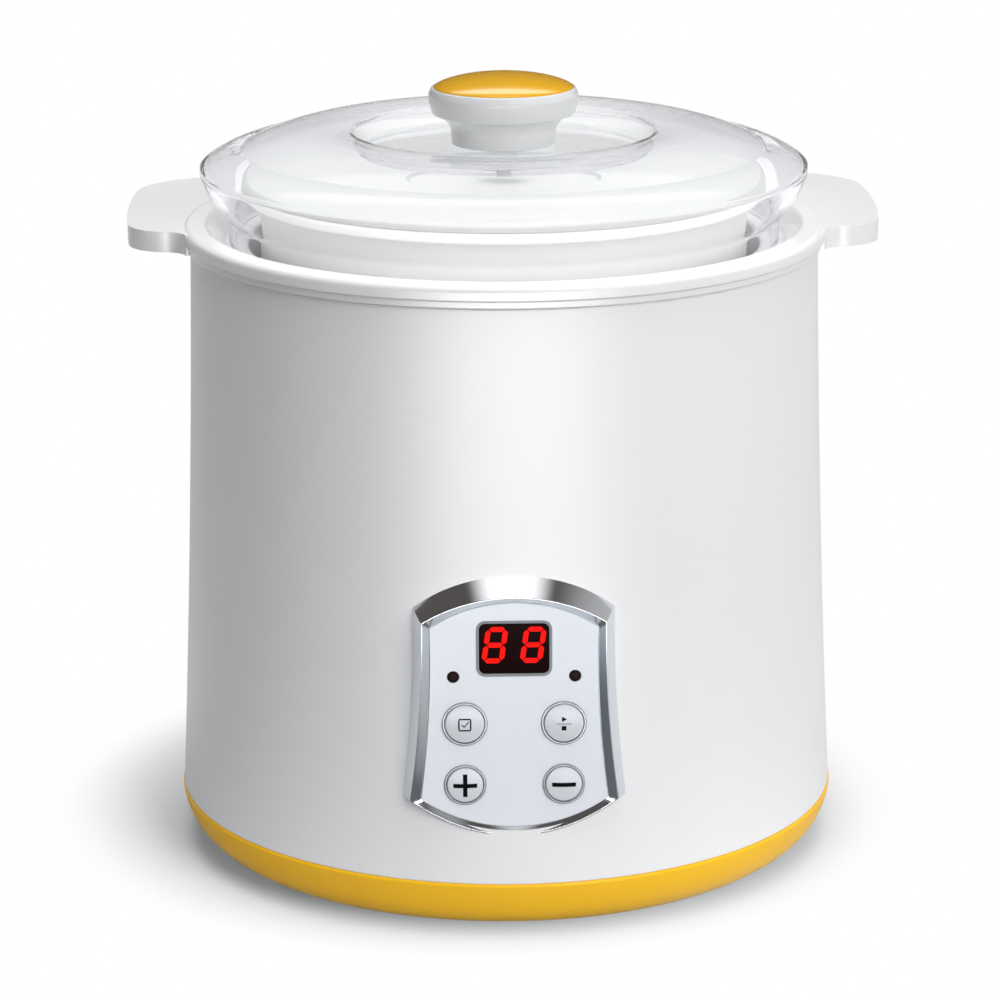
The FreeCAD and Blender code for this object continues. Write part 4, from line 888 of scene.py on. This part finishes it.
class YOGURT_OT_tub(bpy.types.Operator):
    """Model the lift-out tub and its flat lid"""

    bl_idname = "yogurt_maker.tub"
    bl_label = "Tub and its lid"

    def execute(self, context):
        top = settings().top
        low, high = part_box("tub")
        lip_low = high.z - top.tub_lip
        floor = low.z + top.tub_wall
        edge = top.tub_lip_round
        inner = top.tub_radius - top.tub_wall
        tub = lathe("tub_shell", rounded([
            (0.0, low.z), (top.tub_foot_radius, low.z, top.tub_corner),
            (top.tub_radius, lip_low, edge), (high.x, lip_low, edge), (high.x, high.z, edge),
            (inner, high.z, edge), (top.tub_foot_radius - top.tub_wall, floor, top.tub_corner),
            (0.0, floor)]))
        dress(tub, "tub", "tub_white", "tub")
        low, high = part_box("tub_lid")
        under = high.z - top.tub_lid_thick
        plug = inner - top.plug_gap
        plug_inside = plug - top.plug_wall
        dish = high.z - top.dish_depth
        lid = lathe("tub_cover", rounded([
            (0.0, dish), (top.dish_radius - top.dish_depth, dish, edge), (top.dish_radius, high.z, edge),
            (high.x, high.z, edge), (high.x, under, edge / 3), (plug, under), (plug, low.z, edge / 2),
            (plug_inside, low.z, edge / 2), (plug_inside, under, edge / 2), (0.0, under)]))
        # its finish is the tub's white, greyed with painted shade
        dress(lid, "tub_lid", "tub_white", "tub_lid", finish="cover_white")
        return {"FINISHED"}


class YOGURT_OT_clear_lid(bpy.types.Operator):
    """Model the clear cover with its recess and tapered skirt"""

    bl_idname = "yogurt_maker.clear_lid"
    bl_label = "Clear lid"

    def execute(self, context):
        top = settings().top
        low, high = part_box("clear_lid")
        wall, edge = top.lid_wall, 0.7 * MM
        slope_out, slope_up = 0.4 * MM, 0.8 * MM
        crown_shift, recess_shift = 0.4 * MM, 0.84 * MM
        recess, floor = top.recess_floor_radius, top.recess_floor
        rim = (top.recess_radius, top.recess_top)
        shoulder = (top.lid_shoulder_radius, top.lid_shoulder_height)
        crown = ((rim[0] + shoulder[0]) / 2, (rim[1] + shoulder[1]) / 2 + top.lid_crown)
        upper = arc(rim, crown, shoulder, 20)
        edge_top = top.lid_edge_top
        slope_middle = ((shoulder[0] + high.x) / 2 + slope_out, (shoulder[1] + edge_top) / 2 + slope_up)
        slope = arc(upper[-1], slope_middle, (high.x, edge_top), 14)
        foot, foot_top = top.skirt_radius, top.skirt_height
        skirt = arc((high.x, top.lid_edge_bottom), (top.bow_radius, top.bow_height), (foot, foot_top), 18)
        taper = math.atan2(high.x - foot, top.lid_edge_bottom - foot_top)
        bow = (top.bow_radius - wall * math.cos(taper), top.bow_height + wall * math.sin(taper))
        inner_skirt = arc((foot - wall, foot_top + wall * math.tan(taper / 2)), bow,
                          (high.x - wall, top.lid_edge_bottom), 18)
        lower = [(radius + crown_shift, z - wall) for radius, z in reversed(upper)]
        lid = lathe("clear_cover", rounded([
            (top.screw_hole, floor), (recess, floor, 2 * edge),
            (*upper[0], 2 * edge), *upper[1:-1], (*upper[-1], 3 * edge), *slope[1:-1], (*slope[-1], edge),
            (*skirt[0], edge), *skirt[1:-1], (*skirt[-1], 2 * edge),
            (foot, low.z, edge), (foot - wall, low.z, edge),
            (*inner_skirt[0], 2 * edge), *inner_skirt[1:-1], (*inner_skirt[-1], edge),
            (*lower[0], 3 * edge), *lower[1:-1], (*lower[-1], 2 * edge),
            (recess + recess_shift, floor - wall, 2 * edge), (top.screw_hole, floor - wall)]), close=True)
        dress(lid, "lid", "clear_plastic", "clear_lid")
        return {"FINISHED"}


class YOGURT_OT_knob(bpy.types.Operator):
    """Model the knob and its domed inlay"""

    bl_idname = "yogurt_maker.knob"
    bl_label = "Knob"

    def execute(self, context):
        top = settings().top
        low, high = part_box("lid_knob")
        cap_low, cap_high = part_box("knob_cap")
        cap_gap, rim_wide = 0.15 * MM, 0.45 * MM
        foot_round, flange_round, rim_round, pocket_round = 0.3 * MM, 0.6 * MM, 0.7 * MM, 0.2 * MM
        pocket = high.z - top.knob_cap_depth
        rim = cap_high.x + cap_gap
        hollow = (top.knob_sweep_radius, top.knob_sweep_height)
        sweep = arc((top.knob_neck_radius, top.knob_neck_height), hollow,
                    (top.knob_low_radius, top.knob_flange_bottom), 10)
        side = arc(sweep[-1], (top.knob_bulge_radius, top.knob_bulge_height), (high.x, top.knob_widest), 10)
        knob = lathe("knob_body", rounded([
            (top.screw_hole, low.z), (top.knob_base_radius, low.z, foot_round),
            *sweep[:-1], (*sweep[-1], flange_round), *side[1:], (rim + rim_wide, high.z, rim_round),
            (rim, high.z, pocket_round), (rim, pocket), (0.0, pocket)]))
        # its finish is the rim's white, greyed with painted shade
        dress(knob, "lid", "white_rim", "lid_knob", finish="knob_white")
        knob.visible_shadow = False
        crown = cap_high.z - high.z
        turns = 20
        # an ellipse would have the power 1
        power = 1.4
        angles = [math.radians(90.0) * step / turns for step in range(turns, 0, -1)]
        dome = [(cap_high.x * math.sin(angle), high.z + crown * math.cos(angle) ** power) for angle in angles]
        cap = lathe("knob_inlay", [(0.0, cap_low.z), (cap_high.x, cap_low.z), *dome, (0.0, cap_high.z)])
        dress(cap, "lid", "yellow_inlay", "knob_cap")
        cap.visible_shadow = False
        return {"FINISHED"}


# Control panel

def panel_outline(line):
    """Points of one of the panel's outlines: arched ends, and sides that hollow a little."""
    panel = settings().panel
    steps = panel.arch_steps
    top_half, top_height, apex, bottom_half, bottom_height, lowest = getattr(panel, line)
    side_x = (top_half + bottom_half) / 2 - panel.side_hollow
    side_z = (top_height + bottom_height) / 2
    left = arc((-bottom_half, bottom_height), (-side_x, side_z), (-top_half, top_height), steps)
    upper = arc((-top_half, top_height), (0.0, apex), (top_half, top_height), steps)
    right = [(-x, z) for x, z in reversed(left)]
    lower = arc((bottom_half, bottom_height), (0.0, lowest), (-bottom_half, bottom_height), steps)
    return left[:-1] + upper[:-1] + right[:-1] + lower[:-1]


def face_front():
    """How far the panel's face stands in front of the middle axis."""
    return -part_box("panel_face")[0].y


def panel_window():
    """Tool that cuts the drum behind the panel, a little larger than the face."""
    _, _, apex, _, _, lowest = settings().panel.outer
    middle_z = (apex + lowest) / 2
    wider, taller = 1.06, 1.03
    back, front = 60.0 * MM, 95.0 * MM
    outline = [(x * wider, middle_z + (z - middle_z) * taller) for x, z in panel_outline("inner")]
    return turn_to_front(prism("panel_window", outline, back, front))


def on_drum(points, sink):
    """Points of an outline laid on the drum's skin, sunk by a little."""
    return [(x, -math.sqrt((drum_radius(z) - sink) ** 2 - x * x), z) for x, z in points]


class YOGURT_OT_bezel(bpy.types.Operator):
    """Model the chrome bezel: a ridge between the drum and the face"""

    bl_idname = "yogurt_maker.bezel"
    bl_label = "Bezel"

    def execute(self, context):
        panel = settings().panel
        face = face_front()
        fall_top, fall_bottom = panel.crest_fall_top, panel.outer[-1]
        edge_behind, foot_behind = 0.3 * MM, 3.0 * MM
        ridge_round, ridge_angle = 0.35 * MM, math.radians(24.0)

        def crest(x, z):
            low = max(0.0, min(1.0, (fall_top - z) / (fall_top - fall_bottom)))
            bow = panel.crest_bend - math.sqrt(panel.crest_bend ** 2 - x * x)
            return -(panel.crest - bow - panel.crest_fall * low * low * (3 - 2 * low))

        loops = [
            on_drum(panel_outline("outer"), panel.seat_sink),
            [(x, crest(x, z), z) for x, z in panel_outline("ridge")],
            [(x, edge_behind - face, z) for x, z in panel_outline("inner")],
            [(x, foot_behind - face, z) for x, z in panel_outline("inner")],
        ]
        bezel = begin("panel_frame")
        for number, loop in enumerate(loops):
            if number:
                another_vertex()
            trace(loop, close=True)
        bpy.ops.mesh.select_all(action="SELECT")
        bpy.ops.mesh.bridge_edge_loops(type="CLOSED")
        tidy_normals()
        leave()
        bevel(bezel, ridge_round, 3, angle_limit=ridge_angle)
        dress(bezel, "housing", "bezel_chrome", "panel_bezel")
        return {"FINISHED"}


def rounded_box(half_x, half_z, radius):
    """Closed outline of a rectangle with round corners."""
    corners = [(0.0, -half_z), (half_x, -half_z, radius), (half_x, half_z, radius), (-half_x, half_z, radius),
               (-half_x, -half_z, radius), (0.0, -half_z)]
    return rounded(corners, 5)[:-1]


class YOGURT_OT_display(bpy.types.Operator):
    """Model the display's window, its border and its lit digits"""

    bl_idname = "yogurt_maker.display"
    bl_label = "Display"

    def execute(self, context):
        panel = settings().panel
        low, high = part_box("display_window")
        face = face_front()
        glass_round, border_round, border_sink = 0.08 * MM, 0.1 * MM, 0.1 * MM
        half_x, half_z, corner = (high.x - low.x) / 2, (high.z - low.z) / 2, panel.window_round
        middle_z = (high.z + low.z) / 2
        window = prism("display_glass", rounded_box(half_x, half_z, corner), -high.y, -low.y)
        bevel(window, glass_round, 2)
        dress(turn_to_front(window, z=middle_z), "housing", "smoke_window", "display_window")
        grow = panel.border_wide
        border = prism("display_border", rounded_box(half_x + grow, half_z + grow, corner + grow),
                       face - border_sink, face + panel.border_proud)
        carve(border, prism("border_hole", rounded_box(half_x, half_z, corner), face - MM, face + MM))
        bevel(border, border_round, 3)
        dress(turn_to_front(border, z=middle_z), "housing", "ring_chrome", finish="border_grey")
        segments = [self.segment(panel, place, -low.y) for place in self.places(panel)]
        digits = turn_to_front(join(segments, "display_digits"), z=middle_z + panel.digit_lift)
        dress(digits, "housing", "smoke_window", finish="lit_segment", smooth=False)
        return {"FINISHED"}

    @staticmethod
    def places(panel):
        """Middle, direction and half length of each segment of two eights."""
        half_wide = (panel.digit_wide - panel.segment_wide) / 2
        half_tall = (panel.digit_tall - panel.segment_wide) / 2
        for middle in (-panel.digit_spread, panel.digit_spread):
            for level in (-half_tall, 0.0, half_tall):
                yield middle, level, True, half_wide
            for side in (-half_wide, half_wide):
                for level in (-half_tall / 2, half_tall / 2):
                    yield middle + side, level, False, half_tall / 2

    @staticmethod
    def segment(panel, place, front):
        """One bar with pointed ends, leaning with its digit."""
        x, z, flat, half = place
        tip, wide, half_thick = half - panel.segment_gap, panel.segment_wide / 2, 0.02 * MM
        bar = [(-tip, 0.0), (wide - tip, -wide), (tip - wide, -wide),
               (tip, 0.0), (tip - wide, wide), (wide - tip, wide)]
        lean = math.tan(panel.digit_slant)
        points = []
        for along, across in bar:
            dx, dz = (along, across) if flat else (across, along)
            points.append((x + dx + (z + dz) * lean, z + dz))
        return prism("segment", points, front - half_thick, front + half_thick)


class YOGURT_OT_lamps(bpy.types.Operator):
    """Model the two indicator lamps"""

    bl_idname = "yogurt_maker.lamps"
    bl_label = "Indicator lamps"

    def execute(self, context):
        low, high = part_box("indicator_leds")
        face, back, crown = face_front(), -high.y, -low.y
        radius, flange, bulge = 1.45 * MM, 1.9 * MM, 0.72
        spread = high.x - flange
        middle_z = (low.z + high.z) / 2
        dome = arc((radius, face), (radius * bulge, face + (crown - face) * bulge), (0.0, crown), 8)
        outline = [(0.0, back), (radius, back), *dome[:-1], (0.0, crown)]
        lamps = [turn_to_front(lathe("lamp", outline, steps=48), x, middle_z) for x in (-spread, spread)]
        dress(join(lamps, "indicator_lamps"), "housing", "led_dark", "indicator_leds")
        return {"FINISHED"}


KEY_STEPS = 72
KEY_FLANGE = 0.9 * MM
KEY_RISE = 0.6 * MM
KEY_ROUND = 0.35 * MM
# a place on a key's dome, as shares of the radius and of the rise
KEY_BEND = (0.7, 0.51)
RING_GAP = 0.1 * MM
RING_WALL = 0.7 * MM
RING_PROUD = 0.55 * MM
RING_SINK = 0.2 * MM
# printed signs, in millimetres from the middle of their key
BOX_HALF, BOX_LINE = 1.5, 0.19
TICK, TICK_WIDE = ((-0.75, 0.1), (-0.15, -0.6), (1.0, 0.9)), 0.266
START = ((-0.55, 0.55), (0.75, 1.25), (-0.55, 1.95))
STOP = ((-0.6, 0.6), (-1.75, -0.55))
RULE = ((-1.9, 1.9), (-0.08, 0.08))


def rectangle(xs, zs):
    """Corners of a rectangle between two places across and two up."""
    return [(xs[0], zs[0]), (xs[1], zs[0]), (xs[1], zs[1]), (xs[0], zs[1])]


def stroke(start, finish, wide):
    """Corners of a straight pen stroke."""
    start, finish = Vector(start), Vector(finish)
    along = finish - start
    across = Vector((-along.y, along.x)).normalized() * wide / 2
    return [start - across, finish - across, finish + across, start + across]


def tick_box():
    """Outlines of a square frame with a tick in it."""
    inside = (BOX_LINE - BOX_HALF, BOX_HALF - BOX_LINE)
    edges = [(place - BOX_LINE, place + BOX_LINE) for place in (-BOX_HALF, BOX_HALF)]
    frame_bars = [rectangle((-BOX_HALF, BOX_HALF), edge) for edge in edges]
    frame_bars += [rectangle(edge, inside) for edge in edges]
    return frame_bars + [stroke(start, finish, TICK_WIDE) for start, finish in zip(TICK, TICK[1:])]


class YOGURT_OT_keys(bpy.types.Operator):
    """Model the four keys, their rings and their printed signs"""

    bl_idname = "yogurt_maker.keys"
    bl_label = "Keys"

    def execute(self, context):
        face = face_front()
        rings = []
        for name in KEYS:
            low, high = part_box(name + "_button")
            x, z = (low.x + high.x) / 2, (low.z + high.z) / 2
            radius = (high.x - low.x) / 2 - KEY_FLANGE
            crown = -low.y
            key = turn_to_front(self.cap(name, radius, -high.y, crown), x, z)
            dress(key, name + "_key", "key_white", name + "_button")
            rings.append(turn_to_front(self.ring(radius + RING_GAP, face), x, z))
            sign = turn_to_front(self.sign(name, crown + MM), x, z)
            apply_modifier(sign, "SHRINKWRAP", target=key, wrap_method="PROJECT", use_project_y=True,
                           use_negative_direction=True, use_positive_direction=True,
                           offset=settings().panel.sign_thick)
            dress(sign, name + "_key", "switch_black", finish="sign_ink", smooth=False)
        dress(join(rings, "key_rings"), "housing", "ring_chrome", "button_rings")
        return {"FINISHED"}

    @staticmethod
    def cap(name, radius, back, crown):
        """Domed cap with a flange behind the face."""
        edge, flange = crown - KEY_RISE, radius + KEY_FLANGE
        dome = arc((radius, edge), (radius * KEY_BEND[0], edge + KEY_RISE * KEY_BEND[1]), (0.0, crown), 10)
        outline = rounded([(0.0, back), (flange, back), (flange, back + MM), (radius, back + MM),
                           (*dome[0], KEY_ROUND), *dome[1:-1], (0.0, crown)])
        return lathe(name + "_cap", outline, KEY_STEPS)

    @staticmethod
    def ring(bore, face):
        """Half-round ring on the face."""
        outside, foot = bore + RING_WALL, face - RING_SINK
        arch = arc((outside, face), (bore + RING_WALL / 2, face + RING_PROUD), (bore, face), 10)
        return lathe("ring", [(bore, foot), (outside, foot), *arch], KEY_STEPS, close=True)

    def sign(self, name, front):
        """Flat sign in front of a key."""
        panel = settings().panel
        half, wide = panel.sign_long / MM / 2, panel.sign_wide / MM / 2
        level, upright = rectangle((-half, half), (-wide, wide)), rectangle((-wide, wide), (-half, half))
        outlines = {
            "function": tick_box(),
            "start": [rectangle(*RULE), START, rectangle(*STOP)],
            "plus": [level, upright],
            "minus": [level],
        }
        return join([self.shape(outline, front) for outline in outlines[name]], name + "_sign")

    @staticmethod
    def shape(outline, front):
        """Flat shape, cut fine enough to follow a dome."""
        begin("sign")
        trace([(x * MM, z * MM, front) for x, z in outline], close=True)
        bpy.ops.mesh.edge_face_add()
        bpy.ops.mesh.subdivide(number_cuts=5)
        return leave()


class YOGURT_OT_finishes(bpy.types.Operator):
    """Make the materials and give every node of the construction model its finish"""

    bl_idname = "yogurt_maker.finishes"
    bl_label = "Finishes"

    def execute(self, context):
        FINISHES.update(make_materials())
        slots = {part["node"]: part["material_slot"] for part in frame["record"]["subparts"]}
        for node, thing in frame["nodes"].items():
            thing.data.materials.clear()
            thing.data.materials.append(FINISHES[slots[node]])
        return {"FINISHED"}


# Studio

FLOOR_SIZE = 8.0
# shades of the floor near the object, and for soft bounces near it and far from it
NEAR_SHADE = (0.72, 0.73, 0.74)
BOUNCE_NEAR = (0.8, 0.8, 0.8)
BOUNCE_FAR = (0.22, 0.22, 0.22)
# the floor in reflections: its tint, and its brightness close by, at the sides and behind
COOL = (0.82, 0.91, 1.0)
CLOSE_LEFT, CLOSE_RIGHT = 0.16, 0.5
SIDE_LEFT, SIDE_RIGHT = 0.50, 0.68
BEHIND = 0.8
# where those change, in metres from the shadow's middle, and for the last from the object's middle
BOUNCE_FADE = (0.11, 0.20)
CLOSE_FADE = (0.20, 0.30)
SHEEN_FADE = (0.31, 0.46)
BEHIND_FADE = (0.0, 0.12)
# where they change round the object, in radians from straight in front
CLOSE_TURN = (0.1, 0.8)
SIDE_TURN = (-0.6, 0.9)
SHEEN_CORE = 0.12


def floor_material(stage):
    """Pale floor that keeps the shadow near the object, runs out to white and is dim for soft bounces."""
    graph = material_graph("studio_floor")
    across = graph.node("SeparateXYZ", sockets={0: graph.place()}, output="X")
    depth = across.sibling("Y")
    left, behind = across + stage.shadow_left, depth - stage.shadow_back
    away = graph.maths("SQRT", left * left + behind * behind)
    bearing = graph.maths("ARCTAN2", across, depth * -1.0)
    near = graph.node("AddShader", sockets={0: graph.matt(NEAR_SHADE), 1: graph.emitter(stage.floor_glow)})
    eye = graph.blend(graph.ramp(away, stage.shadow_start, stage.shadow_end), near, graph.emitter(1.0))
    bounce = graph.blend(graph.ramp(away, *BOUNCE_FADE), graph.matt(BOUNCE_NEAR), graph.matt(BOUNCE_FAR))
    side = graph.blend(graph.ramp(bearing, *SIDE_TURN),
                       graph.emitter(SIDE_LEFT, COOL), graph.emitter(SIDE_RIGHT, COOL))
    close = graph.blend(graph.ramp(bearing, *CLOSE_TURN),
                        graph.emitter(CLOSE_LEFT, COOL), graph.emitter(CLOSE_RIGHT))
    front = graph.blend(graph.ramp(away, *CLOSE_FADE), close, side)
    back = graph.blend(graph.ramp(depth, *BEHIND_FADE), front, graph.emitter(BEHIND))
    wide = graph.ramp(graph.maths("ABSOLUTE", bearing), stage.sheen_edge, SHEEN_CORE)
    sheen = graph.blend(wide * graph.ramp(away, *SHEEN_FADE), back, graph.emitter(stage.sheen_glow))
    seen, glossy = graph.rays()
    return graph.show(graph.blend(glossy, graph.blend(seen, bounce, eye), sheen))


DARK_STUDIO = (0.10, 0.09, 0.085)
ROOM = (0.98, 0.99, 1.0)
# softboxes as reflections see them: direction, narrowing across X, core and edge in degrees, brightness
REFLECTIONS = (
    ((1.0, 0.0, 0.1), 1.0, 20.0, 60.0, 0.6),
    ((0.0, -0.10, 0.995), 1.0, 3.0, 27.0, 1.6),
    ((0.0, 0.63, 0.78), 0.3, 4.0, 12.0, 4.0),
    ((0.45, -0.80, 0.40), 1.0, 8.0, 25.0, 0.35),
)
# lamps: name, place, what it looks at, width and height, in metres
LAMPS = (
    ("key", (0.72, -1.26, 0.78), (0.0, 0.0, 0.10), 0.8, 1.2),
    ("side", (1.5, 0.05, 0.55), (0.0, 0.0, 0.10), 0.8, 1.0),
    ("top", (0.05, 0.15, 1.5), (0.05, 0.15, 0.0), 1.0, 1.6),
)


def studio_world(stage):
    """White behind the object for the eye, a dark studio for reflections and soft room light for the rest."""
    world = bpy.data.worlds.new("studio")
    bpy.context.scene.world = world
    graph = Graph(world)
    towards = graph.node("TexCoord", output="Generated")
    mirror = graph.background(DARK_STUDIO)
    for direction, narrow, core, edge, strength in REFLECTIONS:
        squeezed = graph.vectors("MULTIPLY", {0: towards, 1: (narrow, 1.0, 1.0)})
        unit = graph.vectors("NORMALIZE", {0: squeezed})
        level = graph.vectors("DOT_PRODUCT", {0: unit, 1: Vector(direction).normalized()}, output="Value")
        box = graph.ramp(level, math.cos(math.radians(edge)), math.cos(math.radians(core)))
        mirror = graph.blend(box, mirror, graph.background(WHITE, strength))
    seen, glossy = graph.rays()
    lit = graph.blend(glossy, graph.background(ROOM, stage.ambient), mirror)
    graph.show(graph.blend(seen, lit, graph.background(WHITE)), "OutputWorld")


def softbox(name, place, target, width, height, power):
    """Rectangular soft light that looks at a target."""
    lamp = bpy.data.lights.new(name, "AREA")
    lamp.shape = "RECTANGLE"
    lamp.size, lamp.size_y = width, height
    lamp.energy = power
    box = bpy.data.objects.new(name, lamp)
    bpy.context.scene.collection.objects.link(box)
    box.visible_glossy = False
    box.visible_transmission = False
    box.location = place
    box.rotation_euler = (Vector(target) - Vector(place)).to_track_quat("-Z", "Y").to_euler()


class YOGURT_OT_stage(bpy.types.Operator):
    """Set up the floor, the soft studio light and the camera"""

    bl_idname = "yogurt_maker.stage"
    bl_label = "Stage"

    def execute(self, context):
        stage = settings().stage
        context.scene.view_settings.view_transform = "Standard"
        bpy.ops.object.select_all(action="DESELECT")
        bpy.ops.mesh.primitive_plane_add(size=FLOOR_SIZE)
        floor = context.object
        floor.name = "studio_floor"
        floor.data.materials.append(floor_material(stage))
        studio_world(stage)
        for name, *values in LAMPS:
            softbox(name + "_light", *values, getattr(stage, name + "_power"))
        self.add_camera(context, stage)
        return {"FINISHED"}

    @staticmethod
    def add_camera(context, stage):
        data = bpy.data.cameras.new("camera")
        data.sensor_width = stage.sensor
        data.lens = stage.lens
        camera = bpy.data.objects.new("camera", data)
        context.scene.collection.objects.link(camera)
        swing = stage.camera_swing
        camera.location = (stage.camera_distance * math.sin(swing), -stage.camera_distance * math.cos(swing),
                           stage.camera_height)
        look = Euler((math.radians(90.0) - stage.camera_pitch, 0.0, stage.camera_heading)).to_matrix()
        roll = Euler((0.0, 0.0, stage.camera_roll)).to_matrix()
        camera.rotation_euler = (look @ roll).to_euler()
        context.scene.camera = camera


STEPS = (YOGURT_OT_stage, YOGURT_OT_finishes, YOGURT_OT_drum, YOGURT_OT_base, YOGURT_OT_liner,
         YOGURT_OT_feet, YOGURT_OT_tub, YOGURT_OT_clear_lid, YOGURT_OT_knob, YOGURT_OT_bezel,
         YOGURT_OT_display, YOGURT_OT_lamps, YOGURT_OT_keys)


class YOGURT_PT_panel(bpy.types.Panel):
    """Steps that build the scene, in order"""

    bl_idname = "YOGURT_PT_panel"
    bl_label = "Yogurt Maker"
    bl_space_type = "VIEW_3D"
    bl_region_type = "UI"
    bl_category = "Yogurt Maker"

    def draw(self, context):
        for step in STEPS:
            self.layout.operator(step.bl_idname)


CLASSES = (HousingSizes, TopSizes, PanelSizes, Colours, StageSettings, YogurtMaker, *STEPS, YOGURT_PT_panel)


def register():
    for entry in CLASSES:
        bpy.utils.register_class(entry)
    bpy.types.Scene.yogurt_maker = PointerProperty(type=YogurtMaker)


def unregister():
    del bpy.types.Scene.yogurt_maker
    for entry in reversed(CLASSES):
        bpy.utils.unregister_class(entry)


def main():
    register()
    for step in STEPS:
        group, name = step.bl_idname.split(".")
        getattr(getattr(bpy.ops, group), name)()


if __name__ == "__main__":
    main()
